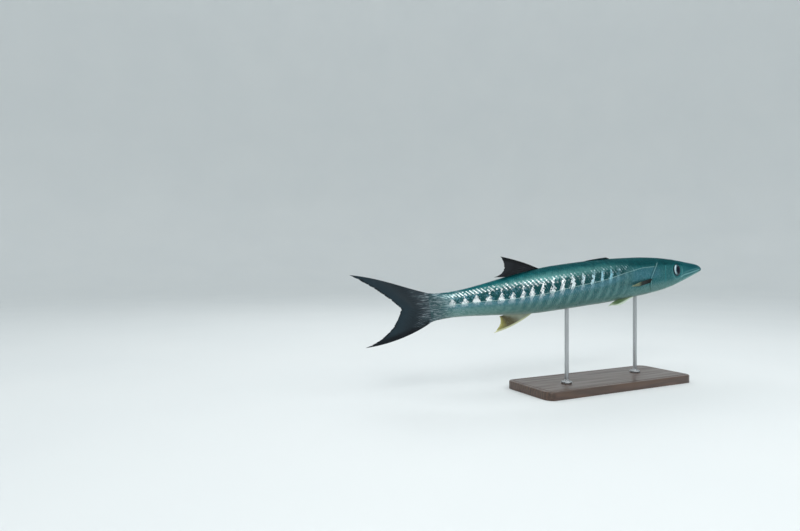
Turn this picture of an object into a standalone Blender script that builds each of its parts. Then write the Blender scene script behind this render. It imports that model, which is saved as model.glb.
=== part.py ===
"""A life-size barracuda on a plain display stand, held as it swims, with its tail swung to its left.

The fish is first modelled straight: x is minus the distance behind the tip of the lower jaw, y is to its
left and z is above its middle line. It is cut into its named pieces there, and each piece is then bent along
the spine. The origin of the finished part is the centre of the underside of the stand's base.
"""

import math

import bmesh
import bpy
import numpy as np
from mathutils import Matrix

MM = 0.001
GAP = 0.35 * MM  # clearance between pieces that touch
TINY = 0.01 * MM  # points nearer than this are one
SHARP_ANGLE = 40  # edges bent by more than this many degrees stay sharp

# Driving sizes of the fish
BODY_LENGTH = 0.840  # from the tip of the lower jaw to the root of the tail fin
RING_CORNERS = 24
TIP_RINGS = (0, 1.5 * MM, 4 * MM)
HEAD_RING_STEP = 8.5 * MM
TRUNK_RING_STEP = 17 * MM
HEAD_RINGS_TO = 0.262
BODY_END = 0.846

# The spine: yaw and nose-up pitch in degrees as curves of u, which is -1 at the snout and +1 at the tail root
YAW_MID, YAW_SLOPE, YAW_BEND = 6.6, -6.3, -26.8
PITCH_MID, PITCH_SLOPE = 5.1, 2.6
STIFF_HEAD_U = -0.44
STIFF_TAIL_U = 1.04
MIDDLE_AT = (-0.026, -0.006, 0.242)  # the spine's halfway point in the finished part
SPINE_STEP = 1 * MM
SPINE_FROM, SPINE_TO = -0.02, 1.05

# Rows of: distance behind the snout, height above the middle line, depth below it, half width (all in
# millimetres), and how square the section is above and below, where 2 is an ellipse
BODY_STATIONS = (
    (0, -2.4, 4.4, 1.4, 2.0, 2.0),
    (1.5, -0.6, 6.2, 4.4, 2.0, 2.0),
    (5, 3.5, 8.5, 7.4, 2.0, 2.0),
    (12, 8.5, 10.5, 9.8, 2.1, 2.0),
    (25, 13.0, 13.5, 12.6, 2.2, 1.9),
    (50, 17.6, 19.5, 16.6, 2.4, 1.8),
    (76, 22.2, 26.0, 20.0, 2.6, 1.8),
    (101, 27.0, 31.6, 23.0, 2.7, 1.8),
    (136, 33.2, 38.6, 26.4, 2.6, 1.9),
    (176, 38.4, 43.8, 30.2, 2.4, 2.0),
    (215, 42.2, 46.8, 33.6, 2.2, 2.1),
    (252, 44.8, 48.6, 36.0, 2.1, 2.1),
    (311, 47.2, 50.2, 38.6, 2.1, 2.1),
    (378, 49.4, 51.4, 40.2, 2.1, 2.1),
    (462, 50.8, 49.8, 40.2, 2.1, 2.1),
    (546, 50.6, 47.6, 38.2, 2.1, 2.1),
    (600, 48.4, 46.2, 34.8, 2.1, 2.1),
    (640, 44.8, 43.6, 30.4, 2.1, 2.1),
    (689, 38.6, 38.2, 24.4, 2.1, 2.1),
    (739, 31.6, 32.8, 18.6, 2.1, 2.1),
    (775, 27.4, 29.2, 14.8, 2.0, 2.0),
    (805, 25.8, 27.8, 11.2, 2.0, 2.0),
    (832, 26.8, 29.0, 6.0, 2.0, 2.0),
    (846, 29.4, 31.6, 1.9, 2.0, 2.0),
)

# Cuts between the pieces, as points of (distance behind the snout, height) in millimetres
GILL_LINE = ((192, 70), (204, 48), (216, 31), (233, 19), (249, 5), (258, -9), (256, -23), (243, -37),
             (224, -50), (214, -70))
PREOPERCLE_LINE = ((186, 21), (193, 4), (192, -14), (183, -30), (166, -43))
MOUTH_LINE = ((-10, -1.4), (20, -4.5), (50, -9.5), (80, -15), (108, -20.5), (130, -27.5), (152, -35))
GILL_COVER_INNER = 15 * MM
GILL_COVER_PAST = 14  # the covers' region runs on behind the gill line, which then ends them
TRUNK_CUT = 0.440
TAIL_CUT = 0.700
LINE_STEPS = 2  # straight steps between two points of a cut line
CUT_HIGH = 70  # cutters reach this far above and below the middle line, and this far to either side, in mm
CUT_AHEAD = -20
JAW_CORNER = (146, -CUT_HIGH)
CUT_BEHIND = 900

EYE_AT = (136 * MM, 21.6 * MM, 5.0 * MM)  # distance behind the snout, out from the middle, above it
EYE_RADII = (15.6 * MM, 7.2 * MM, 15.0 * MM)
EYE_TURN = 6  # degrees that each eye looks forwards, square to the tapering head
EYE_LIFT = 4  # degrees that it looks up
EYE_SEGMENTS = 18
EYE_RINGS = 10
SOCKET_REACH = 20 * MM  # how far the socket's straight mouth runs outwards

# Upright fins: base from and to (distances behind the snout, mm), then the leading edge's control point and
# tip, the trailing edge's control point, and the tip of the last ray, each as (distance, height)
SECOND_DORSAL = {"base": (592, 677), "lead": (637, 71), "tip": (683, 84.5), "trail": (664, 48),
                 "last": (704, 43.0)}
ANAL = {"base": (620, 690), "lead": (670, -68), "tip": (717, -72.5), "trail": (693, -55),
        "last": (700, -40.0)}
FIN_ROOT_THICK = 3.4 * MM
FIN_EDGE_THICK = 0.7 * MM
FIN_TAPER = 1.4  # power by which an upright fin thins towards its edge
FIN_REAR_THIN = 0.6  # share of its thickness that is gone at its rear
FIN_COLUMNS = 8
FIN_ROWS = 5

# The first dorsal fin lies folded along the back, as a low ridge over its five spines. It rises steeply at
# its front, falls off towards the rear, and thins upwards and backwards by the shares given.
FOLDED_DORSAL = {"from": 366, "to": 452, "height": 4.6, "thick": 3.2, "front_height": 0.15, "front_rise": 7,
                 "fall": 0.6, "thin_up": 0.55, "thin_back": 0.7}
FOLDED_COLUMNS = 10

# Tail fin: tips, fork and the control points of its edges, as (distance, height) in millimetres
TAIL_TOP = {"root": (BODY_END / MM, 29.0), "lead": ((895, 47), (940, 74)), "tip": (1003, 88),
            "trail": (935, 42)}
TAIL_LOW = {"root": (BODY_END / MM, -31.0), "lead": ((880, -50), (935, -66.5)), "tip": (990, -66.5),
            "trail": (925, -50)}
TAIL_FORK = (905, 4)
TAIL_COLUMNS = 16
TAIL_ROWS = 7
TAIL_ROOT_THICK = 3.6 * MM
TAIL_TAPER = 1.5
TAIL_EDGE_STIFF = 0.9  # how much thicker the outermost rays are

# Paired fins: root centre (distance, height), length and widths in millimetres, the share of the length at
# which the fin is widest, then angles in degrees
PECTORAL = {"root": (264, -12), "length": 95, "root_width": 10, "width": 12, "fullest": 0.42,
            "back_down": 3, "spread": 8, "roll": 22}
PELVIC = {"root": (315, -46), "length": 99, "root_width": 7, "width": 16, "fullest": 0.6,
          "back_down": 6.5, "spread": 5, "roll": -46}
PAIRED_THICK = 2.2 * MM
PAIRED_TAPER = 1.2  # power by which a paired fin thins towards its tip
PAIRED_POINTED = 0.8  # share of the root's width that is gone at the tip
PAIRED_SHEAR = 0.12  # how far the tip moves down, as a share of the width there
PAIRED_SLANT = 0.18  # how much shorter the lower edge is than the upper
PAIRED_SUNK = 9  # how far the root reaches into the body before it is trimmed, in millimetres
SIDE_SAMPLES = 361  # points of the body's side that a paired fin's root is looked up in

# Stand
BASE_SIZE = (0.440, 0.150, 0.018)
BASE_CORNER = 0.020
BASE_EDGE = 0.003
ROD_RADIUS = 0.0045
ROD_COLLAR_RADIUS = 0.012
ROD_COLLAR_HEIGHT = 0.004
ROD_SEGMENTS = 24
CORNER_SEGMENTS = 6
EDGE_SEGMENTS = 2
ROD_AT = {"stand_rod_front": 0.270, "stand_rod_rear": 0.515}  # distances behind the snout

# Colours (red, green, blue), roughness, metallic
FINISHES = {
    "back_skin": ((0.05, 0.16, 0.16), 0.35, 0.25),
    "flank_skin": ((0.34, 0.42, 0.42), 0.3, 0.5),
    "jaw_skin": ((0.42, 0.46, 0.44), 0.35, 0.4),
    "pale_fin": ((0.42, 0.38, 0.16), 0.4, 0.0),
    "dark_fin": ((0.04, 0.04, 0.05), 0.45, 0.0),
    "eye": ((0.55, 0.58, 0.6), 0.1, 0.3),
    "base_wood": ((0.09, 0.05, 0.03), 0.4, 0.0),
    "rod_steel": ((0.6, 0.6, 0.6), 0.25, 1.0),
}


def clear_scene():
    for obj in list(bpy.data.objects):
        bpy.data.objects.remove(obj, do_unlink=True)


def new_material(node_name, finish):
    colour, roughness, metallic = FINISHES[finish]
    material = bpy.data.materials.new(node_name)
    material.use_nodes = True
    shader = material.node_tree.nodes["Principled BSDF"]
    shader.inputs["Base Color"].default_value = (*colour, 1.0)
    shader.inputs["Roughness"].default_value = roughness
    shader.inputs["Metallic"].default_value = metallic
    return material


def smooth_value(at, places, values):
    """The values at the places, joined by a smooth curve that doesn't overshoot, read at one place."""
    places = np.asarray(places, float)
    values = np.asarray(values, float)
    steps = np.diff(values) / np.diff(places)
    slopes = np.concatenate([steps[:1], np.zeros(len(steps) - 1), steps[-1:]])
    for k in range(1, len(steps)):
        if steps[k - 1] * steps[k] > 0:
            slopes[k] = 2 * steps[k - 1] * steps[k] / (steps[k - 1] + steps[k])
    at = min(max(at, places[0]), places[-1])
    k = min(int(np.searchsorted(places, at, side="right")) - 1, len(places) - 2)
    width = places[k + 1] - places[k]
    t = (at - places[k]) / width
    return (
        (2 * t**3 - 3 * t**2 + 1) * values[k]
        + (t**3 - 2 * t**2 + t) * width * slopes[k]
        + (3 * t**2 - 2 * t**3) * values[k + 1]
        + (t**3 - t**2) * width * slopes[k + 1]
    )


def section_at(distance):
    """Height above, depth below, half width and the two squarenesses of the body there, lengths in metres."""
    places = [row[0] * MM for row in BODY_STATIONS]
    up, down, half, square_up, square_down = (
        smooth_value(distance, places, [row[column] for row in BODY_STATIONS]) for column in range(1, 6)
    )
    return up * MM, down * MM, half * MM, square_up, square_down


def ring_point(distance, angle, grow=0.0):
    """A point of the straight body's skin. The angle runs from the fish's left side up over its back."""
    up, down, half, square_up, square_down = section_at(distance)
    side = math.cos(angle)
    rise = math.sin(angle)
    square = square_up if rise >= 0 else square_down
    middle = (up - down) / 2
    reach = (up + down) / 2 + grow
    y = (half + grow) * math.copysign(abs(side) ** (2 / square), side)
    z = middle + reach * math.copysign(abs(rise) ** (2 / square), rise)
    return (-distance, y, z)


def ring_distances():
    head = np.arange(HEAD_RING_STEP, HEAD_RINGS_TO, HEAD_RING_STEP)
    trunk = np.arange(HEAD_RINGS_TO, BODY_END - TRUNK_RING_STEP / 2, TRUNK_RING_STEP)
    return [*TIP_RINGS, *head, *trunk, BODY_END]


def object_from(bm, name):
    bmesh.ops.recalc_face_normals(bm, faces=bm.faces[:])
    mesh = bpy.data.meshes.new(name)
    bm.to_mesh(mesh)
    bm.free()
    obj = bpy.data.objects.new(name, mesh)
    bpy.context.scene.collection.objects.link(obj)
    return obj


def make_body(name, grow=0.0):
    """The whole straight fish without fins: one ring drawn out along the body, and closed at both ends."""
    bm = bmesh.new()
    corner = bm.verts.layers.int.new("corner")
    first = bmesh.ops.create_circle(bm, cap_ends=True, segments=RING_CORNERS, radius=1.0)["verts"]
    for index, vert in enumerate(first):
        vert[corner] = index
    ring = list(first)
    edges = list({edge for vert in first for edge in vert.link_edges})
    for number, distance in enumerate(ring_distances()):
        if number:
            drawn = bmesh.ops.extrude_edge_only(bm, edges=edges)["geom"]
            ring = [item for item in drawn if isinstance(item, bmesh.types.BMVert)]
            edges = [item for item in drawn if isinstance(item, bmesh.types.BMEdge)]
        end_push = grow if distance == BODY_END else -grow if number == 0 else 0.0
        for vert in ring:
            angle = math.tau * vert[corner] / RING_CORNERS
            x, y, z = ring_point(distance, angle, grow)
            vert.co = (x - end_push, y, z)
    bmesh.ops.contextual_create(bm, geom=edges)
    bmesh.ops.triangulate(bm, faces=bm.faces[:])
    return object_from(bm, name)


def curve_through(points, steps=LINE_STEPS):
    """More points along a smooth curve through the given ones."""
    count = range(len(points))
    found = []
    for k in range((len(points) - 1) * steps + 1):
        at = k / steps
        found.append(tuple(smooth_value(at, count, [point[axis] for point in points]) for axis in (0, 1)))
    return found


def inset_outline(outline, distance):
    """The outline moved inwards by the distance, corner by corner."""
    area = sum(
        a[0] * b[1] - b[0] * a[1] for a, b in zip(outline, [*outline[1:], outline[0]], strict=True)
    )
    turn = 1 if area > 0 else -1
    moved = []
    for k, point in enumerate(outline):
        before = np.subtract(point, outline[k - 1])
        after = np.subtract(outline[(k + 1) % len(outline)], point)
        before = before / np.hypot(*before)
        after = after / np.hypot(*after)
        normals = np.array([[-before[1], before[0]], [-after[1], after[0]]]) * turn
        bisector = normals.sum(axis=0)
        bisector = bisector / (1 + normals[0] @ normals[1])
        moved.append(tuple(np.add(point, bisector * distance)))
    return moved


def make_prism(name, outline, from_y=-CUT_HIGH * MM, to_y=CUT_HIGH * MM):
    """A cutter: an outline of (distance, height) in millimetres, drawn out across the fish."""
    bm = bmesh.new()
    verts = [bm.verts.new((-distance * MM, from_y, height * MM)) for distance, height in outline]
    face = bm.faces.new(verts)
    drawn = bmesh.ops.extrude_face_region(bm, geom=[face])["geom"]
    far = [item for item in drawn if isinstance(item, bmesh.types.BMVert)]
    bmesh.ops.translate(bm, verts=far, vec=(0, to_y - from_y, 0))
    bmesh.ops.triangulate(bm, faces=bm.faces[:])
    return as_cutter(object_from(bm, name))


def as_cutter(obj):
    obj.hide_render = True
    obj.display_type = "WIRE"
    return obj


def boolean(obj, other, operation):
    modifier = obj.modifiers.new(operation.lower(), "BOOLEAN")
    modifier.operation = operation
    modifier.solver = "EXACT"
    modifier.object = other
    bpy.context.view_layer.update()
    graph = bpy.context.evaluated_depsgraph_get()
    made = bpy.data.meshes.new_from_object(obj.evaluated_get(graph))
    obj.modifiers.clear()
    obj.data = made


def copy_of(obj, name):
    made = bpy.data.objects.new(name, obj.data.copy())
    bpy.context.scene.collection.objects.link(made)
    return made


def spine_frames():
    """Distances, places and directions along the bent spine of the finished part."""
    distances = np.arange(SPINE_FROM, SPINE_TO, SPINE_STEP)
    u = 2 * distances / BODY_LENGTH - 1
    u = np.clip(u, STIFF_HEAD_U, STIFF_TAIL_U)
    yaw = np.radians(YAW_MID + YAW_SLOPE * u + YAW_BEND * u**2)
    pitch = np.radians(PITCH_MID + PITCH_SLOPE * u)
    forward = np.stack([np.cos(yaw) * np.cos(pitch), np.sin(yaw) * np.cos(pitch), np.sin(pitch)], axis=1)
    places = np.zeros_like(forward)
    places[1:] = -np.cumsum((forward[1:] + forward[:-1]) / 2 * SPINE_STEP, axis=0)
    halfway = int(np.argmin(abs(distances - BODY_LENGTH / 2)))
    places += np.array(MIDDLE_AT) - places[halfway]
    left = np.stack([-np.sin(yaw), np.cos(yaw), np.zeros_like(yaw)], axis=1)
    above = np.cross(forward, left)
    return distances, places, left, above


def bend(obj, frames):
    """Moves each point of a straight piece to its place beside the bent spine."""
    distances, places, left, above = frames
    count = len(obj.data.vertices)
    points = np.empty(count * 3)
    obj.data.vertices.foreach_get("co", points)
    points = points.reshape(-1, 3)
    along = [
        np.stack([np.interp(-points[:, 0], distances, table[:, axis]) for axis in range(3)], axis=1)
        for table in (places, left, above)
    ]
    bent = along[0] + along[1] * points[:, 1:2] + along[2] * points[:, 2:3]
    obj.data.vertices.foreach_set("co", bent.astype(np.float32).reshape(-1))
    obj.data.update()


def finish_piece(obj, finish, frames=None):
    """Triangles, bending, smooth shading and the piece's own material."""
    bm = bmesh.new()
    bm.from_mesh(obj.data)
    bmesh.ops.dissolve_degenerate(bm, dist=TINY, edges=bm.edges[:])
    bmesh.ops.triangulate(bm, faces=bm.faces[:])
    bm.to_mesh(obj.data)
    bm.free()
    if frames:
        bend(obj, frames)
    obj.data.shade_smooth()
    obj.data.set_sharp_from_angle(angle=math.radians(SHARP_ANGLE))
    obj.data.materials.clear()
    obj.data.materials.append(new_material(obj.name, finish))
    return obj


def head_outlines():
    """Side outlines of the head, the lower jaw and the gill covers."""
    gill = curve_through(GILL_LINE)
    mouth = curve_through(MOUTH_LINE)
    head = [(CUT_AHEAD, CUT_HIGH), *gill, (CUT_AHEAD, -CUT_HIGH)]
    jaw = [*mouth, JAW_CORNER, (mouth[0][0], -CUT_HIGH)]
    front = curve_through(PREOPERCLE_LINE)
    rear = max(point[0] for point in gill) + GILL_COVER_PAST
    cover = [*reversed(front), (rear, front[0][1]), (rear, front[-1][1])]
    return head, jaw, cover


def turned(name, profile, side, radii):
    """An eye-like shape: (radius, reach out) points of a unit profile turned round the eye's own axis."""
    bm = bmesh.new()
    verts = [bm.verts.new((radius, reach, 0)) for radius, reach in profile]
    edges = [bm.edges.new(pair) for pair in zip(verts[:-1], verts[1:], strict=True)]
    bmesh.ops.spin(bm, geom=verts + edges, cent=(0, 0, 0), axis=(0, 1, 0), angle=math.tau,
                   steps=EYE_SEGMENTS, use_merge=True)
    bmesh.ops.remove_doubles(bm, verts=bm.verts[:], dist=0.0001)
    bmesh.ops.scale(bm, vec=radii, verts=bm.verts[:])
    turn = Matrix.Rotation(math.radians(-EYE_TURN), 3, "Z")
    lift = Matrix.Rotation(math.radians(EYE_LIFT), 3, "X")
    bmesh.ops.rotate(bm, verts=bm.verts[:], matrix=turn @ lift)
    distance, out, height = EYE_AT
    bmesh.ops.translate(bm, verts=bm.verts[:], vec=(-distance, out, height))
    bmesh.ops.scale(bm, vec=(1, side, 1), verts=bm.verts[:])
    bmesh.ops.triangulate(bm, faces=bm.faces[:])
    return object_from(bm, name)


def eye_shape(name, side):
    angles = [math.radians(180 * k / EYE_RINGS - 90) for k in range(EYE_RINGS + 1)]
    return turned(name, [(math.cos(angle), math.sin(angle)) for angle in angles], side, EYE_RADII)


def eye_socket(side):
    """A bowl behind the eye's widest part, and a straight mouth in front of it."""
    radii = [radius + GAP for radius in EYE_RADII]
    angles = [math.radians(180 * k / EYE_RINGS - 90) for k in range(EYE_RINGS // 2 + 1)]
    bowl = [(math.cos(angle), math.sin(angle)) for angle in angles]
    mouth_end = SOCKET_REACH / radii[1]
    return as_cutter(turned("eye_socket", [*bowl, (1.0, mouth_end), (0.0, mouth_end)], side, radii))


def make_head_pieces(body, frames):
    head_outline, jaw_outline, cover_outline = head_outlines()
    head = copy_of(body, "head")
    boolean(head, make_prism("head_region", head_outline), "INTERSECT")
    jaw = copy_of(head, "lower_jaw")
    boolean(jaw, make_prism("jaw_region", inset_outline(jaw_outline, GAP / MM)), "INTERSECT")
    boolean(head, make_prism("jaw_cut", jaw_outline), "DIFFERENCE")
    for side, word in ((1, "left"), (-1, "right")):
        cover = copy_of(head, "gill_cover_" + word)
        span = sorted((side * (GILL_COVER_INNER + GAP), side * CUT_HIGH * MM))
        boolean(cover, make_prism("cover_region", inset_outline(cover_outline, GAP / MM), *span), "INTERSECT")
        finish_piece(cover, "flank_skin", frames)
    for side in (1, -1):
        span = sorted((side * GILL_COVER_INNER, side * CUT_HIGH * MM))
        boolean(head, make_prism("cover_cut", cover_outline, *span), "DIFFERENCE")
        boolean(head, eye_socket(side), "DIFFERENCE")
    finish_piece(head, "back_skin", frames)
    finish_piece(jaw, "jaw_skin", frames)
    for side, word in ((1, "left"), (-1, "right")):
        finish_piece(eye_shape("eye_" + word, side), "eye", frames)


def make_trunk_pieces(body, frames):
    gill = [(distance + GAP / MM, height) for distance, height in curve_through(GILL_LINE)]
    half = GAP / 2 / MM
    front_cut = TRUNK_CUT / MM
    rear_cut = TAIL_CUT / MM
    regions = {
        "trunk_front": [*gill, (front_cut - half, -CUT_HIGH), (front_cut - half, CUT_HIGH)],
        "trunk_rear": [(front_cut + half, -CUT_HIGH), (rear_cut - half, -CUT_HIGH),
                       (rear_cut - half, CUT_HIGH), (front_cut + half, CUT_HIGH)],
        "tail": [(rear_cut + half, -CUT_HIGH), (CUT_BEHIND, -CUT_HIGH), (CUT_BEHIND, CUT_HIGH),
                 (rear_cut + half, CUT_HIGH)],
    }
    for name, outline in regions.items():
        piece = copy_of(body, name)
        boolean(piece, make_prism(name + "_region", outline), "INTERSECT")
        finish_piece(piece, "flank_skin", frames)


def bezier(points, t):
    """A point on the curve with these control points."""
    points = [np.array(point, float) for point in points]
    while len(points) > 1:
        points = [a + (b - a) * t for a, b in zip(points[:-1], points[1:], strict=True)]
    return points[0]


def make_plate(name, columns, rows, place, thickness):
    """A thin fin: a grid whose points go to place(u, v), given the thickness there on both sides."""
    bm = bmesh.new()
    bmesh.ops.create_grid(bm, x_segments=columns, y_segments=rows, size=1.0)
    side = bm.verts.layers.int.new("side")
    drawn = bmesh.ops.extrude_face_region(bm, geom=bm.faces[:])["geom"]
    for item in drawn:
        if isinstance(item, bmesh.types.BMVert):
            item[side] = 1
    for vert in bm.verts:
        u = (vert.co.x + 1) / 2
        v = (vert.co.y + 1) / 2
        point, normal = place(u, v)
        offset = thickness(u, v) / 2 * (1 if vert[side] else -1)
        vert.co = [value + offset * direction for value, direction in zip(point, normal, strict=True)]
    bmesh.ops.triangulate(bm, faces=bm.faces[:])
    return object_from(bm, name)


def edge_of_body(distance, sign):
    """Height of the back (+1) or of the belly (-1) on the middle line, in metres."""
    up, down = section_at(distance)[:2]
    return up if sign > 0 else -down


def make_upright_fin(name, shape, sign, finish, frames):
    """The second dorsal fin or the anal fin, standing on the edge of the body."""
    from_base, to_base = shape["base"]

    def place(u, v):
        base = (from_base + (to_base - from_base) * u) * MM
        root = np.array([base / MM, edge_of_body(base, sign) / MM + sign * GAP / MM])
        end = bezier((shape["tip"], shape["trail"], shape["last"]), u)
        lead = np.array(shape["lead"], float)
        straight = (root + end) / 2
        bow = straight + (lead - bezier((root, shape["tip"]), 0.5)) * (1 - u) ** 3
        distance, height = bezier((root, bow, end), v)
        return (-distance * MM, 0.0, height * MM), (0, 1, 0)

    def thickness(u, v):
        share = (1 - v) ** FIN_TAPER * (1 - FIN_REAR_THIN * u)
        return FIN_EDGE_THICK + (FIN_ROOT_THICK - FIN_EDGE_THICK) * share

    return finish_piece(make_plate(name, FIN_COLUMNS, FIN_ROWS, place, thickness), finish, frames)


def make_folded_dorsal(frames):
    start = FOLDED_DORSAL["from"]
    length = FOLDED_DORSAL["to"] - start

    def place(u, v):
        distance = (start + length * u) * MM
        rise = FOLDED_DORSAL["height"] * MM * (1 - u) ** FOLDED_DORSAL["fall"]
        rise *= min(1.0, FOLDED_DORSAL["front_height"] + FOLDED_DORSAL["front_rise"] * u)
        height = edge_of_body(distance, 1) + GAP + max(rise, FIN_EDGE_THICK) * v
        return (-distance, 0.0, height), (0, 1, 0)

    def thickness(u, v):
        thin = (1 - FOLDED_DORSAL["thin_up"] * v) * (1 - FOLDED_DORSAL["thin_back"] * u)
        return FOLDED_DORSAL["thick"] * MM * thin

    fin = make_plate("dorsal_fin_first", FOLDED_COLUMNS, 2, place, thickness)
    return finish_piece(fin, "dark_fin", frames)


def make_tail_fin(frames):
    """Two lobes swept back from the end of the body, drawn as rays that fan out from its edge."""

    def place(u, v):
        across = 2 * u - 1
        lobe = TAIL_TOP if across >= 0 else TAIL_LOW
        share = abs(across)
        root = np.array([lobe["root"][0] + GAP / MM, lobe["root"][1] * share])
        end = bezier((TAIL_FORK, lobe["trail"], lobe["tip"]), share)
        chord = [root + (end - root) * k / 3 for k in (1, 2)]
        edge = np.array(lobe["root"]), np.array(lobe["tip"], float)
        bows = [np.array(lead) - (edge[0] + (edge[1] - edge[0]) * k / 3)
                for k, lead in zip((1, 2), lobe["lead"], strict=True)]
        inner = [point + bow * share**2 for point, bow in zip(chord, bows, strict=True)]
        distance, height = bezier((root, *inner, end), v)
        return (-distance * MM, 0.0, height * MM), (0, 1, 0)

    def thickness(u, v):
        stiff = 1 + TAIL_EDGE_STIFF * abs(2 * u - 1) ** 4 * v * (1 - v)
        return (FIN_EDGE_THICK + (TAIL_ROOT_THICK - FIN_EDGE_THICK) * (1 - v) ** TAIL_TAPER) * stiff

    fin = make_plate("tail_fin", TAIL_COLUMNS, TAIL_ROWS, place, thickness)
    return finish_piece(fin, "dark_fin", frames)


def root_on_side(distance, height, side):
    """The point of the body's side at this distance and height, found by walking round the ring."""
    angles = np.radians(np.linspace(-90, 90, SIDE_SAMPLES))
    ring = np.array([ring_point(distance, angle) for angle in angles])
    return np.array([-distance, side * np.interp(height, ring[:, 2], ring[:, 1]), height])


def make_paired_fin(name, shape, side, finish, room, frames):
    """A pectoral or pelvic fin: a leaf that leaves the body backwards, trimmed against the body's skin."""
    root = root_on_side(shape["root"][0] * MM, shape["root"][1] * MM, side)
    down = math.radians(shape["back_down"])
    spread = math.radians(shape["spread"])
    along = np.array(
        [-math.cos(down) * math.cos(spread), side * math.sin(spread), -math.sin(down) * math.cos(spread)]
    )
    roll = math.radians(shape["roll"])
    lift = np.array([0.0, side * math.sin(roll), math.cos(roll)])
    lift -= along * (lift @ along)
    lift /= np.linalg.norm(lift)
    normal = np.cross(along, lift)
    length = shape["length"]

    def place(u, v):
        reach = -PAIRED_SUNK + (length + PAIRED_SUNK) * v
        share = max(reach, 0) / length
        bulge = math.sin(math.pi * share ** (math.log(0.5) / math.log(shape["fullest"])))
        wide = shape["root_width"] * (1 - PAIRED_POINTED * share**3)
        wide += (shape["width"] - shape["root_width"]) * bulge
        across = (u - 0.5 - PAIRED_SHEAR * share) * wide
        reach *= 1 - PAIRED_SLANT * (1 - u) * share
        point = root + along * reach * MM + lift * across * MM
        return point, normal

    def thickness(u, v):
        return FIN_EDGE_THICK + (PAIRED_THICK - FIN_EDGE_THICK) * (1 - v) ** PAIRED_TAPER

    fin = make_plate(name, FIN_ROWS, FIN_COLUMNS, place, thickness)
    boolean(fin, room, "DIFFERENCE")
    return finish_piece(fin, finish, frames)


def make_stand(room, frames):
    """A flat base with rounded corners, and two steel rods that end just under the belly."""
    bm = bmesh.new()
    bmesh.ops.create_cube(bm, size=1.0)
    bmesh.ops.scale(bm, vec=BASE_SIZE, verts=bm.verts[:])
    bmesh.ops.translate(bm, vec=(0, 0, BASE_SIZE[2] / 2), verts=bm.verts[:])
    upright = [edge for edge in bm.edges if abs(edge.verts[0].co.z - edge.verts[1].co.z) > MM]
    bmesh.ops.bevel(bm, geom=upright, offset=BASE_CORNER, segments=CORNER_SEGMENTS, profile=0.5, affect="EDGES")
    top = [edge for edge in bm.edges if all(vert.co.z > BASE_SIZE[2] - MM for vert in edge.verts)]
    bmesh.ops.bevel(bm, geom=top, offset=BASE_EDGE, segments=EDGE_SEGMENTS, profile=0.5, affect="EDGES")
    finish_piece(object_from(bm, "stand_base"), "base_wood")
    distances, places = frames[:2]
    for name, distance in ROD_AT.items():
        x, y, spine_height = (float(np.interp(distance, distances, places[:, axis])) for axis in range(3))
        foot = BASE_SIZE[2] + GAP
        profile = ((0, foot), (ROD_COLLAR_RADIUS, foot), (ROD_COLLAR_RADIUS, foot + ROD_COLLAR_HEIGHT),
                   (ROD_RADIUS, foot + 2 * ROD_COLLAR_HEIGHT), (ROD_RADIUS, spine_height), (0, spine_height))
        bm = bmesh.new()
        verts = [bm.verts.new((radius, 0, height)) for radius, height in profile]
        edges = [bm.edges.new(pair) for pair in zip(verts[:-1], verts[1:], strict=True)]
        bmesh.ops.spin(bm, geom=verts + edges, cent=(0, 0, 0), axis=(0, 0, 1), angle=math.tau,
                       steps=ROD_SEGMENTS, use_merge=True)
        bmesh.ops.remove_doubles(bm, verts=bm.verts[:], dist=TINY)
        bmesh.ops.translate(bm, vec=(x, y, 0), verts=bm.verts[:])
        rod = object_from(bm, name)
        boolean(rod, room, "DIFFERENCE")
        finish_piece(rod, "rod_steel")


def main():
    clear_scene()
    frames = spine_frames()
    body = as_cutter(make_body("straight_body"))
    room = as_cutter(make_body("fin_room", GAP))
    make_head_pieces(body, frames)
    make_trunk_pieces(body, frames)
    make_upright_fin("dorsal_fin_second", SECOND_DORSAL, 1, "dark_fin", frames)
    make_upright_fin("anal_fin", ANAL, -1, "pale_fin", frames)
    make_folded_dorsal(frames)
    make_tail_fin(frames)
    for side, word in ((1, "left"), (-1, "right")):
        make_paired_fin("pectoral_fin_" + word, PECTORAL, side, "pale_fin", room, frames)
        make_paired_fin("pelvic_fin_" + word, PELVIC, side, "pale_fin", room, frames)
    bent_room = copy_of(room, "rod_room")
    bend(bent_room, frames)
    make_stand(as_cutter(bent_room), frames)
    for obj in list(bpy.data.objects):
        if obj.hide_render:
            bpy.data.objects.remove(obj, do_unlink=True)


main()
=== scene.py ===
import bmesh
import bpy
import math
import numpy as np
from mathutils import Matrix, Vector
from types import SimpleNamespace


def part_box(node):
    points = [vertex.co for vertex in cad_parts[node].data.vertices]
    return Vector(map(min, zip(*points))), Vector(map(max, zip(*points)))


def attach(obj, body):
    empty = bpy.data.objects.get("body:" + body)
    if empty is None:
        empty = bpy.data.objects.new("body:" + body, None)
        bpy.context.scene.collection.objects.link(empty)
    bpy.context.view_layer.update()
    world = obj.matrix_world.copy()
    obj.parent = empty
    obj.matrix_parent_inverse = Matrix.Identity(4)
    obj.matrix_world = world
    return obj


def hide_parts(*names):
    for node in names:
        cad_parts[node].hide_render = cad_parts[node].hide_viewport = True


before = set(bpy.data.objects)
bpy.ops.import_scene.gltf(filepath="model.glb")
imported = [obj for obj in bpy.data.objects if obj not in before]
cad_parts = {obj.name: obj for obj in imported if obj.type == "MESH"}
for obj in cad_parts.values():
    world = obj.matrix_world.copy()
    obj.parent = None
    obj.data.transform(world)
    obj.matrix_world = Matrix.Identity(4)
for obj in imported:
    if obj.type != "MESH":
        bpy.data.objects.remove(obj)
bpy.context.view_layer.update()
rng = np.random.default_rng(7)
mm = 0.001
sides = (("left", 1), ("right", -1))

# The fish is shaped straight first, in millimetres: x is minus the distance behind the tip of the lower jaw,
# y is to its left and z is above its middle line. It is then bent along the spine of the solids.

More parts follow.
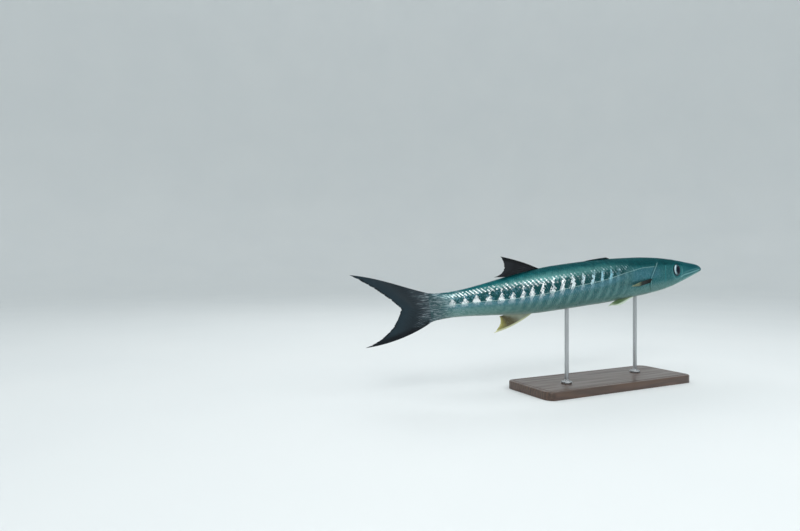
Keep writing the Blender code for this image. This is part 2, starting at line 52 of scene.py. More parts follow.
# distance, height above and depth below the middle line, half width, and squareness above and below
bodyRows = (
    (0, -2.4, 4.4, 1.4, 2.0, 2.0), (1.5, -0.6, 6.2, 4.4, 2.0, 2.0), (5, 3.5, 8.5, 7.4, 2.0, 2.0),
    (12, 8.5, 10.5, 9.8, 2.1, 2.0), (25, 13.0, 13.5, 12.6, 2.2, 1.9), (50, 17.6, 19.5, 16.6, 2.4, 1.8),
    (76, 22.2, 26.0, 20.0, 2.6, 1.8), (101, 27.0, 31.6, 23.0, 2.7, 1.8), (136, 33.2, 38.6, 26.4, 2.6, 1.9),
    (176, 38.4, 43.8, 30.2, 2.4, 2.0), (215, 42.2, 46.8, 33.6, 2.2, 2.1), (252, 44.8, 48.6, 36.0, 2.1, 2.1),
    (311, 47.2, 50.2, 38.6, 2.1, 2.1), (378, 49.4, 51.4, 40.2, 2.1, 2.1), (462, 50.8, 49.8, 40.2, 2.1, 2.1),
    (546, 50.6, 47.6, 38.2, 2.1, 2.1), (600, 48.4, 46.2, 34.8, 2.1, 2.1), (640, 44.8, 43.6, 30.4, 2.1, 2.1),
    (689, 38.6, 38.2, 24.4, 2.1, 2.1), (739, 31.6, 32.8, 18.6, 2.1, 2.1), (775, 27.4, 29.2, 14.8, 2.0, 2.0),
    (805, 25.8, 27.8, 11.2, 2.0, 2.0), (832, 26.8, 29.0, 6.0, 2.0, 2.0), (846, 29.4, 31.6, 1.9, 2.0, 2.0),
)
bodyEnd = bodyRows[-1][0]
spine = {
    "length": 840, "yaw": (6.6, -6.3, -26.8), "pitch": (5.1, 2.6), "stiffHead": -0.44, "stiffTail": 1.04,
    "middleAt": (-0.026, -0.006, 0.242),
}
# the mouth's height by distance, and the distance of the gill opening and the cheek plate's edge by height
mouthLine = ((-10, -1.4), (20, -4.5), (50, -9.5), (80, -15), (108, -20.5), (130, -27.5), (152, -35))
gillLine = (
    (-70, 214), (-50, 224), (-37, 243), (-23, 256), (-9, 258), (5, 249), (19, 233), (31, 216), (48, 204),
    (70, 192),
)
cheekLine = (
    (-70, 140), (-56, 148), (-43, 166), (-30, 183), (-14, 192), (4, 193), (21, 186), (40, 178), (70, 168),
)
eye = {
    "at": (136, 21.6, 5.0), "radii": (15.6, 7.2, 15.0), "turn": 6, "lift": 4, "hole": 0.985, "rim": 1.5,
    "wall": ((0.5, 0.985), (1.6, 0.955)),  # how far in each step of the socket's wall goes, and its size
}
coatDepth = 0.6


def smoothAt(at, line):
    # a smooth curve through the line's points that doesn't overshoot, read at any places along it
    places, values = np.array(line, float).T
    steps = np.diff(values) / np.diff(places)
    slopes = np.concatenate([steps[:1], np.zeros(len(steps) - 1), steps[-1:]])
    for k in range(1, len(steps)):
        if steps[k - 1] * steps[k] > 0:
            slopes[k] = 2 * steps[k - 1] * steps[k] / (steps[k - 1] + steps[k])
    at = np.clip(at, places[0], places[-1])
    k = np.clip(np.searchsorted(places, at, side="right") - 1, 0, len(places) - 2)
    width = places[k + 1] - places[k]
    t = (at - places[k]) / width
    near = (2 * t**3 - 3 * t**2 + 1) * values[k] + (t**3 - 2 * t**2 + t) * width * slopes[k]
    return near + (3 * t**2 - 2 * t**3) * values[k + 1] + (t**3 - t**2) * width * slopes[k + 1]


fineAt = np.arange(0, bodyEnd + 0.5, 0.5)
sectionTable = [smoothAt(fineAt, [(row[0], row[k]) for row in bodyRows]) for k in range(1, 6)]


def sectionAt(distance):
    return [np.interp(distance, fineAt, column) for column in sectionTable]


def ringPoints(distance, angle, grow=0.0):
    # points of the body's surface. The angle runs from the fish's left side, at 0, up over its back
    distance, angle = np.broadcast_arrays(np.asarray(distance, float), np.asarray(angle, float))
    up, down, half, squareUp, squareDown = sectionAt(distance)
    side, rise = np.cos(angle), np.sin(angle)
    square = np.where(rise >= 0, squareUp, squareDown)
    half = np.maximum(half + grow, 0.05)
    reach = np.maximum((up + down) / 2 + grow, 0.05)
    y = half * np.sign(side) * np.abs(side) ** (2 / square)
    z = (up - down) / 2 + reach * np.sign(rise) * np.abs(rise) ** (2 / square)
    return np.stack([-distance, y, z], axis=-1)


def angleAtHeight(distance, height):
    up, down, half, squareUp, squareDown = sectionAt(distance)
    rise = np.clip((height - (up - down) / 2) / ((up + down) / 2), -1, 1)
    return np.sign(rise) * np.arcsin(np.abs(rise) ** (np.where(rise >= 0, squareUp, squareDown) / 2))


def spineTable():
    at = np.arange(-20, 1050, 1.0)
    u = np.clip(2 * at / spine["length"] - 1, spine["stiffHead"], spine["stiffTail"])
    yaw = np.radians(spine["yaw"][0] + spine["yaw"][1] * u + spine["yaw"][2] * u**2)
    pitch = np.radians(spine["pitch"][0] + spine["pitch"][1] * u)
    forward = np.stack([np.cos(yaw) * np.cos(pitch), np.sin(yaw) * np.cos(pitch), np.sin(pitch)], axis=1)
    places = np.zeros_like(forward)
    places[1:] = -np.cumsum((forward[1:] + forward[:-1]) / 2, axis=0) * mm
    places += np.array(spine["middleAt"]) - places[int(np.argmin(abs(at - spine["length"] / 2)))]
    left = np.stack([-np.sin(yaw), np.cos(yaw), np.zeros_like(yaw)], axis=1)
    return at, places, left, np.cross(forward, left)


spineAt, spinePlaces, spineLeft, spineAbove = spineTable()


def bent(points):
    # straight millimetres to the finished place, in metres
    flat = np.asarray(points, float).reshape(-1, 3)
    place, left, above = (
        np.stack([np.interp(-flat[:, 0], spineAt, table[:, axis]) for axis in range(3)], axis=1)
        for table in (spinePlaces, spineLeft, spineAbove)
    )
    return place + (left * flat[:, 1:2] + above * flat[:, 2:3]) * mm


def fade(value, low, high):
    # 0 below low, 1 above high, smooth between. The two may be the other way round
    t = np.clip((np.asarray(value, float) - low) / (high - low), 0, 1)
    return t * t * (3 - 2 * t)


def bell(value, width):
    return np.exp(-((np.asarray(value, float) / width) ** 2))


def span(value, start, full, fall, end):
    # rises from start to full, and falls again from fall to end
    return fade(value, start, full) * fade(value, end, fall)


def readPoints(mesh):
    points = np.empty(len(mesh.vertices) * 3)
    mesh.vertices.foreach_get("co", points)
    return points.reshape(-1, 3)


def writePoints(mesh, points):
    mesh.vertices.foreach_set("co", np.asarray(points, np.float32).reshape(-1))
    mesh.update()


def setAttributes(mesh, **values):
    # each value is one number for the whole mesh, or one for each point
    for name, value in values.items():
        layer = mesh.attributes.get(name) or mesh.attributes.new(name, "FLOAT", "POINT")
        layer.data.foreach_set("value", np.full(len(mesh.vertices), value, np.float32))


def pick(items, kind):
    # the points, edges or faces among what an operator made
    return [item for item in items if isinstance(item, kind)]


def newObject(name, mesh):
    obj = bpy.data.objects.new(name, mesh)
    bpy.context.scene.collection.objects.link(obj)
    return obj


def writeMesh(bm, mesh):
    # turns the faces outward and writes them to the mesh
    bmesh.ops.recalc_face_normals(bm, faces=bm.faces[:])
    bm.to_mesh(mesh)
    bm.free()
    return mesh


def objectFrom(bm, name):
    return newObject(name, writeMesh(bm, bpy.data.meshes.new(name)))


def finishPiece(obj, material, slotName, *nodes, sharp=45):
    obj.data.shade_smooth()
    obj.data.set_sharp_from_angle(angle=math.radians(sharp))
    obj.data.materials.clear()
    obj.data.materials.append(material)
    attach(obj, "root")
    if nodes:
        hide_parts(*nodes)
    return obj


def paint(*screen):
    # a screen colour, 0 to 255, as the renderer's linear one
    shares = (value / 255 for value in screen)
    return (*(s / 12.92 if s <= 0.04045 else ((s + 0.055) / 1.055) ** 2.4 for s in shares), 1.0)


def inksOf(colours):
    return SimpleNamespace(**{key: paint(*colour) for key, colour in colours.items()})


def newMaterial(name, **settings):
    material = bpy.data.materials.new(name)
    material.use_nodes = True
    shader = material.node_tree.nodes["Principled BSDF"]
    for socket, value in settings.items():
        shader.inputs[socket.replace("_", " ")].default_value = value
    return material, material.node_tree, shader


def newNode(kind, *values, **settings):
    # a node in the tree of whichever of its values is a socket, with its inputs fed in order
    tree = next(value.id_data for value in values if isinstance(value, bpy.types.NodeSocket))
    node = tree.nodes.new("ShaderNode" + kind)
    for key, setting in settings.items():
        setattr(node, key, setting)
    for socket, value in zip(node.inputs, values, strict=False):
        if isinstance(value, bpy.types.NodeSocket):
            tree.links.new(value, socket)
        elif value is not None:
            socket.default_value = value
    return node


def calc(operation, *values):
    return newNode("Math", *values, operation=operation).outputs[0]


def plus(first, second):
    return calc("ADD", first, second)


def minus(first, second):
    return calc("SUBTRACT", first, second)


def larger(first, second):
    return calc("MAXIMUM", first, second)


def times(*values):
    product = values[0]
    for value in values[1:]:
        product = calc("MULTIPLY", product, value)
    return product


def swing(value, size):
    # a value round 0.5 as one round 0
    return times(minus(value, 0.5), size)


def away(value, place):
    return calc("ABSOLUTE", minus(value, place))


def ramp(value, low, high, start=0.0, end=1.0):
    return newNode("MapRange", value, low, high, start, end, interpolation_type="SMOOTHSTEP").outputs[0]


def between(value, start, full, fall, end):
    return times(ramp(value, start, full), ramp(value, end, fall))


def mixed(share, first, second):
    # the colour inputs come after those for numbers and vectors
    return newNode("Mix", share, *[None] * 5, first, second, data_type="RGBA").outputs[2]


def layered(colour, *layers):
    # lays each colour over the last, by its share
    for share, over in layers:
        colour = mixed(share, colour, over)
    return colour


def attribute(tree, name):
    node = tree.nodes.new("ShaderNodeAttribute")
    node.attribute_name = name
    return node.outputs["Fac"]


def objectCoords(tree, scale=(1, 1, 1)):
    coords = tree.nodes.new("ShaderNodeTexCoord")
    return newNode("Mapping", coords.outputs["Object"], None, None, scale).outputs[0]


def noise(tree, scale, detail=3.0, stretch=(1, 1, 1)):
    node = newNode("TexNoise", objectCoords(tree, stretch))
    node.inputs["Scale"].default_value = scale
    node.inputs["Detail"].default_value = detail
    return node.outputs["Fac"]


def connect(shader, height, strength, distance, **sockets):
    # links what varies over the surface, and the bump
    tree = height.id_data
    bump = tree.nodes.new("ShaderNodeBump")
    bump.inputs["Strength"].default_value = strength
    bump.inputs["Distance"].default_value = distance
    tree.links.new(height, bump.inputs["Height"])
    sockets["Normal"] = bump.outputs[0]
    for name, value in sockets.items():
        tree.links.new(value, shader.inputs[name.replace("_", " ")])


# markings, shared by the skin and the scales
markings = {
    # distances of the bright gaps between the bars
    "gaps": (354, 388, 415, 446, 477, 507, 537, 564, 589, 614, 636, 657, 679, 702, 727, 753, 776, 802),
    # the lateral line, as (distance, share of the depth from the back)
    "lateral": ((228, 0.25), (262, 0.255), (288, 0.26), (320, 0.295), (360, 0.335), (413, 0.405), (450, 0.44),
                (537, 0.49), (595, 0.535), (644, 0.555), (690, 0.56), (738, 0.52), (790, 0.505), (846, 0.5)),
    "beforeGaps": 33,  # the spacing on before the first gap and after the last one
    "afterGaps": 28,
    "sweep": 19,  # how far the bars run back from the lateral line to the belly
    "lean": ((340, 24), (450, 22), (610, 13), (680, 8), (750, 5)),  # how far forward they lean to the back
}


def lateralAt(distance):
    return smoothAt(distance, markings["lateral"])


def depthShare(distance, height):
    up, down = sectionAt(distance)[:2]
    return (up - height) / (up + down)


def markSurface(mesh, distance, height, tone=0.5, rim=0, spot=0, fine=None):
    # writes what the markings are painted by. On scales, fine is each point's own distance and height
    share = depthShare(distance, height)
    line = lateralAt(distance)
    below = np.clip((share - line) / (1 - line), 0, 1)
    above = np.clip((line - share) / line, 0, 1)
    lean = np.interp(distance, *zip(*markings["lean"], strict=True))
    shifted = distance - markings["sweep"] * below**1.4 + lean * above
    gaps = markings["gaps"]
    ends = (gaps[0] - 4 * markings["beforeGaps"], *gaps, gaps[-1] + 3 * markings["afterGaps"])
    bars = np.interp(shifted, ends, [-4, *range(len(gaps)), len(gaps) + 2])
    near, high = fine or (distance, height)
    offLine = (depthShare(near, high) - lateralAt(near)) * sum(sectionAt(near)[:2])
    pale, dark = headMarks(near, high)
    setAttributes(mesh, along=distance * mm, down=share, belowLine=share - line, bars=bars, offLine=offLine,
                  pale=pale, dark=dark, tone=tone, rim=rim, spot=spot)


def eyeShare(distance, height):
    # distance from the eye's middle, as a share of its radius
    return np.hypot((distance - eye["at"][0]) / eye["radii"][0], (height - eye["at"][2]) / eye["radii"][2])


def maxillaWidth(distance):
    return np.interp(distance, (6, 20, 50, 80, 104, 118, 122), (0.8, 2.4, 4.8, 7.4, 10.2, 9.4, 0.5))


def boneAt(distance):
    # the bony line from the eye to the snout
    return np.interp(distance, (20, 60, 100, 120), (3.0, 2.0, -2.0, -6.0))


def headMarks(distance, height):
    # pale and dark marks of the head: the jaws' silver edges with painted highlights, the gill cover's rim,
    # the eye's surround, and painted shade in the mouth's slit and behind the gill opening
    above = height - smoothAt(distance, mouthLine)
    ringAt = eyeShare(distance, height)
    gill = distance - smoothAt(height, gillLine)
    cheek = distance - smoothAt(height, cheekLine)
    onGill = span(height, -34, -14, 24, 34)
    # the jaws' pale edges: their silver, with a painted highlight along them
    pale = 0.65 * bell(above - maxillaWidth(distance), 1.4) * span(distance, 6, 24, 116, 123)
    pale += 0.5 * bell(above + 2.8, 1.6) * span(distance, 6, 24, 110, 130)
    pale += 0.22 * bell(height - boneAt(distance) + 1.0, 1.5) * span(distance, 14, 40, 96, 118)
    pale += 0.7 * bell(gill + 1.6, 0.8 + 0.05 * np.clip(height, 0, 30)) * onGill
    pale += 0.05 * bell(cheek + 2.5, 3.0) * span(height, -40, -25, 12, 26)
    pale += 0.2 * bell(ringAt - 1.5, 0.14) * fade(height, 18, 4)
    # the dark band just behind the gill opening is painted shade under the cover's edge, and the fainter one
    # on the cover is its own dark rim
    dark = (0.8 * bell(gill - 1.6, 1.6) + 0.3 * bell(gill + 6.5, 3.0)) * onGill
    # a dark line along the mouth's slit, painted shade in it
    dark += 0.9 * bell(above, 0.8) * span(distance, 2, 6, 106, 118)
    dark += 0.55 * fade(ringAt, 1.17, 1.02)
    # a streak over the bone behind the snout
    streakAt = np.interp(distance, (20, 100), (6.5, 13.0))
    dark += 0.35 * bell(height - streakAt, 1.3) * span(distance, 18, 40, 80, 108)
    return np.clip(pale, 0, 1), np.clip(dark, 0, 1)


# the skin's and scales' colours, as screen colours. The gap colour is silver painted near white as a painted
# highlight, the lighter teal low on the back is painted light, and the pale teal of the back's scale rims is
# a painted highlight
coatColours = {
    "back": (0, 66, 71), "backPale": (0, 84, 88), "backLow": (80, 132, 130), "backEdge": (104, 166, 164),
    "bar": (28, 77, 79), "gap": (252, 255, 255), "gapFront": (156, 214, 230), "sheen": (80, 130, 146),
    "flank": (88, 130, 130), "flankBar": (50, 94, 96), "belly": (104, 138, 132), "cream": (138, 156, 148),
    "tail": (54, 70, 76), "dash": (190, 204, 210), "line": (180, 214, 212), "cheek": (46, 110, 114),
    "snout": (0, 88, 98), "mark": (160, 206, 206), "dusk": (2, 16, 24),
}


def silverDashes(tree):
    # fine bright dashes along the tail's root, which run on over the tail fin
    return ramp(noise(tree, 800, 2, (0.11, 0.11, 1)), 0.47, 0.68, 0.0, 0.52)


def coatPattern(tree):
    # where the markings lie: what markSurface wrote, and shares from 0 to 1 worked out of it
    keys = ("along", "down", "belowLine", "bars", "tone", "rim", "spot", "offLine", "pale", "dark")
    at = SimpleNamespace(**{key: attribute(tree, key) for key in keys})
    at.blotch = noise(tree, 90, 2)
    # distance from the middle of the nearest bright gap, 0 to 0.5 of a bar's length
    at.phase = plus(at.bars, swing(noise(tree, 120, 2), 0.3))
    at.offGap = plus(away(calc("FRACT", plus(at.phase, 0.5)), 0.5), swing(at.tone, 0.12))
    # gaps are narrow near the back and flare towards the lateral line
    thinTop = ramp(at.along, 0.52, 0.68, 0.07, 0.01)
    flare = ramp(at.belowLine, -0.22, -0.02, thinTop, ramp(at.along, 0.5, 0.75, 0.16, 0.25))
    at.gap = times(ramp(at.offGap, plus(flare, 0.03), flare), ramp(at.phase, 0.5, 2.0, 0.1, 1.0))
    at.onTrunk = between(at.along, 0.322, 0.37, 0.79, 0.822)
    at.barred = times(ramp(plus(at.belowLine, times(at.tone, 0.03)), 0.05, 0.0), at.onTrunk)
    # the edge of the dark back, as a share of the way down
    at.wavyDown = plus(at.down, swing(at.blotch, 0.05))
    at.backEnd = minus(ramp(at.along, 0.28, 0.55, 0.21, 0.26), ramp(at.along, 0.62, 0.77, 0.0, 0.1))
    at.onBack = ramp(minus(at.wavyDown, at.backEnd), 0.04, -0.05)
    return at


def sideColour(at, inks, silver):
    # bars and gaps above the lateral line, and the paler flank and belly below it
    softBar = times(ramp(at.offGap, 0.1, 0.32), ramp(at.down, 0.95, 0.75), at.onTrunk,
                    ramp(at.along, 0.74, 0.64))
    low = layered(
        mixed(ramp(at.down, 0.62, 0.93), inks.flank, inks.belly),
        (ramp(at.down, 0.9, 0.99), inks.cream),
        (times(softBar, 0.75), inks.flankBar),
    )
    # random scales on the bars, from the middle of the body back, are painted paler as painted glints
    glintSpeckle = times(ramp(at.tone, 0.45, 1.0, 0.0, 0.7), ramp(at.along, 0.54, 0.72))
    high = mixed(at.gap, mixed(glintSpeckle, inks.bar, inks.sheen), silver)
    # the gaps run on for a little below the line, where the front is bluish
    under = times(at.gap, at.onTrunk, ramp(at.belowLine, 0.14, 0.03, 0.0, 0.75),
                  ramp(at.belowLine, 0.0, 0.03))
    bluish = times(between(at.along, 0.31, 0.4, 0.78, 0.84), between(at.belowLine, 0.0, 0.03, 0.08, 0.2), 0.6)
    return layered(mixed(at.barred, low, high), (under, silver), (bluish, inks.sheen))


def headColour(tree, at, inks, colour):
    # before the first bar and on the head the sides are plain silver green, and the back is dark to the snout
    plain = times(ramp(at.along, 0.36, 0.31), ramp(at.down, 0.8, 0.6))
    sheen = times(between(at.along, 0.2, 0.24, 0.31, 0.36), between(at.belowLine, -0.02, 0.04, 0.2, 0.36),
                  0.6)
    # from the front of the trunk back, the lower part of the back is painted lighter teal, painted light
    # falling there over the glint band
    back = layered(
        mixed(ramp(at.blotch, 0.3, 0.75), inks.back, inks.backPale),
        (times(ramp(at.wavyDown, 0.05, 0.17), ramp(at.along, 0.31, 0.43)), inks.backLow),
    )
    snout = times(ramp(at.along, 0.14, 0.05), ramp(at.down, 0.85, 0.5), 0.8)
    pores = newNode("TexVoronoi", objectCoords(tree))
    pores.inputs["Scale"].default_value = 330
    freckles = times(ramp(pores.outputs["Distance"], 0.3, 0.12), ramp(at.along, 0.17, 0.13, 0.0, 0.3))
    return layered(colour, (plain, inks.cheek), (sheen, inks.sheen), (at.onBack, back), (snout, inks.snout),
                   (freckles, inks.dusk))


def scaleGlints(tree, at, inks, silver, colour):
    # a band of painted glints, whole scales painted bright, runs over the tops of the bars, in slanting rows,
    # fainter on the front half
    band = times(ramp(away(at.down, at.backEnd), 0.1, 0.05), between(at.along, 0.29, 0.37, 0.77, 0.83))
    band = times(band, ramp(noise(tree, 60, 2), 0.34, 0.52, 0.3, 1.0))
    faint = larger(ramp(at.tone, 0.3, 1.0, 0.2, 0.9), ramp(at.along, 0.5, 0.6))
    overGap = larger(ramp(at.offGap, 0.38, 0.16, 0.4, 1.0), ramp(at.along, 0.5, 0.62))
    glint = times(band, faint, overGap, attribute(tree, "lit"), ramp(at.spot, 0.1, 0.5))
    # each scale's rear rim is painted paler as a painted highlight, teal on the back and silver lower down
    edge = times(ramp(at.rim, 0.55, 1.0), ramp(at.tone, 0.25, 0.9, 0.03, 0.3))
    rimHighlightColour = mixed(ramp(at.down, 0.15, 0.4), inks.backEdge, inks.gap)
    return layered(colour, (glint, mixed(0.5, silver, inks.gap)), (edge, rimHighlightColour),
                   (ramp(at.tone, 0.5, 0.0, 0.0, 0.25), inks.bar))


def coatMaterial(name, isCoat):
    material, tree, shader = newMaterial(name, Specular_IOR_Level=0.15, Specular_Tint=paint(120, 214, 220),
                                         Coat_Weight=0.04, Coat_Roughness=0.15)
    inks = inksOf(coatColours)
    at = coatPattern(tree)
    # the gaps' silver, bluish at the front and painted near white further back as a painted highlight on it
    silver = layered(inks.gapFront, (ramp(at.along, 0.4, 0.58), inks.gap),
                     (ramp(at.tone, 0.35, 0.0, 0.0, 0.45), inks.sheen))
    colour = headColour(tree, at, inks, sideColour(at, inks, silver))
    lined = times(ramp(calc("ABSOLUTE", at.offLine), 0.95, 0.45), ramp(at.along, 0.225, 0.235, 0.0, 0.55),
                  ramp(at.along, 0.84, 0.79, 0.1, 1.0))
    colour = layered(
        colour,
        (ramp(at.along, 0.79, 0.835, 0.0, 0.85), inks.tail),
        (times(silverDashes(tree), ramp(at.along, 0.75, 0.82)), inks.dash),
        (lined, inks.line),
        (at.pale, inks.mark),
        (at.dark, inks.dusk),
    )
    # only the scales get the painted glints and the painted highlights on their rims
    if isCoat:
        colour = scaleGlints(tree, at, inks, silver, colour)
    bright = times(at.barred, at.gap)
    metal = larger(times(bright, 0.55), ramp(at.down, 0.2, 0.5, 0.72, 0.45))
    grain = noise(tree, 900, 2)
    # the bare bone of the head is finely grooved along its length
    grooves = times(ramp(noise(tree, 420, 3, (0.12, 1, 1)), 0.3, 0.7), ramp(at.along, 0.19, 0.12, 0.0, 1.2))
    connect(shader, plus(grain, grooves), 0.25, 0.0004, Base_Color=colour,
            Metallic=times(metal, ramp(at.down, 1.0, 0.8, 0.35, 1.0)),
            Roughness=plus(ramp(bright, 0.0, 1.0, 0.36, 0.24), times(grain, 0.12)))
    return material


# the skin, one grid wrapped round the body, with the mouth along one of its columns
skinShape = {
    "halfColumns": 84, "mouthColumn": 0.36, "mouthLines": (0.006, 0.013, 0.021), "restAngle": -25,
    "cheekAt": 190, "gillAt": 250,  # the rings that follow the cheek's edge and the gill opening
    "tipRound": 1.2, "lipDepth": 1.6, "lipSwell": 0.4, "gillStep": 1.3, "maxillaRise": 0.8,
}
nostrils = ((112.5, 16.5, 1.7), (107, 15.0, 1.1))  # distance, height and size
bake = {"margin": 0.01, "patch": 0.0028}  # the OFBake map's edge, and the size of a scale's patch there


def skinDistances():
    # close together on the head and at the edges of its plates, and wider apart along the trunk
    tip = [-1, 0, 0.3, 0.7, 1.2, 1.8, 2.6, 3.6]
    head = np.arange(4.8, 186, 1.3)
    cheek = skinShape["cheekAt"] + np.array([-2.6, -1.5, -0.7, 0, 0.6, 1.2, 2.2])
    cover = np.arange(193.8, 245.5, 1.7)
    gill = skinShape["gillAt"] + np.array([-3.0, -1.7, -0.9, -0.4, 0.1, 0.8, 1.7, 3.2])
    trunk = np.arange(255.5, bodyEnd - 2, 4.0)
    return np.array([*tip, *head, *cheek, *cover, *gill, *trunk, bodyEnd, bodyEnd + 1])


def skinColumns():
    # shares of the way from the belly to the back, closer together at the mouth
    mouth, lines = skinShape["mouthColumn"], np.array(skinShape["mouthLines"])
    even = np.linspace(0, 1, skinShape["halfColumns"] + 1)
    clear = even[abs(even - mouth) > max(lines) * 1.3]
    return np.sort([*clear, mouth, *(mouth + lines), *(mouth - lines)])


def plateShift(distance, height):
    # moves the rings near the cheek's edge and the gill opening onto those lines
    cheekAt, gillAt = skinShape["cheekAt"], skinShape["gillAt"]
    cheek = smoothAt(height, cheekLine) - cheekAt
    gill = smoothAt(height, gillLine) - gillAt
    towardsGill = np.clip((distance - cheekAt) / (gillAt - cheekAt), 0, 1)
    return (cheek + (gill - cheek) * towardsGill) * span(distance, 96, cheekAt, gillAt, 330)


def skinRelief(distance, height, angle):
    # how far each point of the head stands out of, or sinks into, the plain surface
    above = height - smoothAt(distance, mouthLine)
    degrees = np.degrees(angle)
    onMouth = span(distance, 1, 4, 104, 113)
    relief = -skinShape["lipDepth"] * bell(above, 0.5) * onMouth
    relief += skinShape["lipSwell"] * (bell(above - 1.7, 0.9) + bell(above + 1.8, 1.0)) * onMouth
    blade = fade(above, -2.8, -0.6) * fade(above - maxillaWidth(distance), 0.8, -0.8)
    blade *= span(distance, 16, 40, 120.5, 123.5) * np.where(above < 0, fade(distance, 98, 104), 1)
    relief += skinShape["maxillaRise"] * blade
    # the joint behind the mouth, the lower jaw's long ridge and the soft fold under it
    relief -= 0.6 * bell(above, 1.2) * span(distance, 116, 122, 146, 156)
    relief += 0.5 * bell(above + 7, 3.0) * span(distance, 10, 40, 110, 140)
    relief -= 0.7 * bell(np.abs(degrees + 90) - 22, 5) * span(distance, 24, 60, 150, 225)
    relief += 0.5 * bell(height - boneAt(distance), 2.2) * span(distance, 14, 40, 110, 124)
    # grooves and two ridges over the top of the head
    fromTop = np.abs(np.abs(degrees) - 90)
    ridges = 0.45 * bell(fromTop - 24, 6) - bell(fromTop - 9, 5)
    ridges -= 0.5 * bell(fromTop - 38, 5) * fade(distance, 124, 100)
    relief += ridges * fade(height, 0, 10) * span(distance, 26, 60, 150, 190)
    # cheek plate and gill cover
    cheek = distance - smoothAt(height, cheekLine)
    plate = 0.3 * span(cheek, -14, -2, -0.6, 0.8) - 0.45 * bell(cheek - 1.1, 1.1)
    relief += plate * span(height, -46, -34, 17, 27)
    gill = distance - smoothAt(height, gillLine)
    cover = 0.55 * span(gill, -9, -1, -0.35, 0.15) - skinShape["gillStep"] * span(gill, -0.3, 0.3, 0.8, 7)
    relief += cover * span(height, -49, -40, 24, 33)
    relief -= 0.35 * bell(gill + 14, 1.6) * span(height, -36, -26, -6, 6)
    # faint lines fan out over the gill cover from its upper front
    fromHinge = np.degrees(np.arctan2(height - 20, distance - 192))
    onCover = fade(cheek, 6, 14) * fade(gill, -5, -12) * span(height, -36, -26, 12, 22)
    relief += 0.14 * np.cos(fromHinge * 0.7) * onCover
    # a low ridge under the eye, and small pores along the lower jaw and the cheek plate's edge
    relief += 0.35 * bell(eyeShare(distance, height) - 1.5, 0.16) * fade(height, 2, -8) * (height > -30)
    for poreAt in range(24, 136, 14):
        poreHigh = np.interp(poreAt, (20, 130), (-11.0, -38.0))
        relief -= 0.55 * bell(np.hypot(distance - poreAt, height - poreHigh), 1.0)
    for poreHigh in range(-34, 12, 9):
        poreAt = smoothAt(poreHigh, cheekLine) - 7
        relief -= 0.5 * bell(np.hypot(distance - poreAt, height - poreHigh), 1.1)
    # rays of the gill membrane under the throat
    throat = fade(height, -34, -42) * span(distance, 150, 170, 226, 246)
    relief += 0.1 * np.cos(math.tau * (distance + 1.2 * height) / 7.5) * throat
    for nostrilAt, nostrilHigh, size in nostrils:
        middle = np.hypot(distance - nostrilAt, height - nostrilHigh)
        relief += 0.35 * bell(middle - size * 1.5, 0.7) - 1.5 * bell(middle, size)
    return relief


def skinAngles(nominal, around):
    # one column follows the mouth line, and runs on along the flank
    mouth = skinShape["mouthColumn"]
    mouthAngle = angleAtHeight(nominal, smoothAt(nominal, mouthLine))
    mouthAngle += (math.radians(skinShape["restAngle"]) - mouthAngle) * fade(nominal, 118, 200)
    below = -math.pi / 2 + (mouthAngle + math.pi / 2) * around / mouth
    above = mouthAngle + (math.pi / 2 - mouthAngle) * (around - mouth) / (1 - mouth)
    return np.where(around <= mouth, below, above)


def makeSkin(material):
    distances, half = skinDistances(), skinColumns()
    columns = np.concatenate([half, 2 - half[-2::-1]])  # belly, left side, back, right side, belly
    bm = bmesh.new()
    bmesh.ops.create_grid(bm, x_segments=len(distances) - 1, y_segments=len(columns) - 1, size=1.0)
    uvLayer = bm.loops.layers.uv.new("OFBake")
    for loop in (loop for face in bm.faces for loop in face.loops):
        loop[uvLayer].uv = [bake["margin"] + (0.5 - bake["margin"]) * (c + 1) for c in loop.vert.co[:2]]
    obj = objectFrom(bm, "skin")
    mesh = obj.data
    grid = (readPoints(mesh) + 1) / 2
    ring = distances[np.rint(grid[:, 0] * (len(distances) - 1)).astype(int)]
    column = columns[np.rint(grid[:, 1] * (len(columns) - 1)).astype(int)]
    nominal = np.clip(ring, 0, bodyEnd)
    angle = skinAngles(nominal, np.minimum(column, 2 - column))
    distance = nominal
    for _ in range(3):
        distance = nominal + plateShift(nominal, ringPoints(distance, angle)[:, 2])
    height = ringPoints(distance, angle)[:, 2]
    points = ringPoints(distance, angle, skinRelief(distance, height, angle) - coatDepth)
    # a round tip, and both ends drawn to a point
    towardsTip = 1 - np.clip(nominal, 0, skinShape["tipRound"]) / skinShape["tipRound"]
    size = np.where((ring < 0) | (ring > bodyEnd), 0, 0.25 + 0.75 * np.sqrt(1 - towardsTip**2))
    up, down = sectionAt(distance)[:2]
    middle = (up - down) / 2
    points[:, 1] *= size * np.where(column <= 1, 1, -1)
    points[:, 2] = middle + (points[:, 2] - middle) * size
    # the surface sinks round the eye to meet its rim
    sink = fade(eyeShare(distance, height), 1.5, 1.0) * (height > -30)
    outward = np.abs(points[:, 1])
    raised = np.maximum(outward - eyeRim(distance, height), 0)
    points[:, 1] = np.sign(points[:, 1]) * (outward - raised * sink)
    writePoints(mesh, points)
    markSurface(mesh, distance, height)
    cutEyeHoles(mesh)
    writePoints(mesh, bent(readPoints(mesh)))
    return finishPiece(obj, material, "skin", "head", "lower_jaw", "gill_cover_left", "gill_cover_right",
                       "trunk_front", "trunk_rear", "tail", sharp=60)


def eyeRim(distance, height):
    # how far out the skin meets the eye
    ahead = (distance - eye["at"][0]) * math.tan(math.radians(eye["turn"]))
    return eye["at"][1] + ahead - (height - eye["at"][2]) * math.tan(math.radians(eye["lift"])) + eye["rim"]


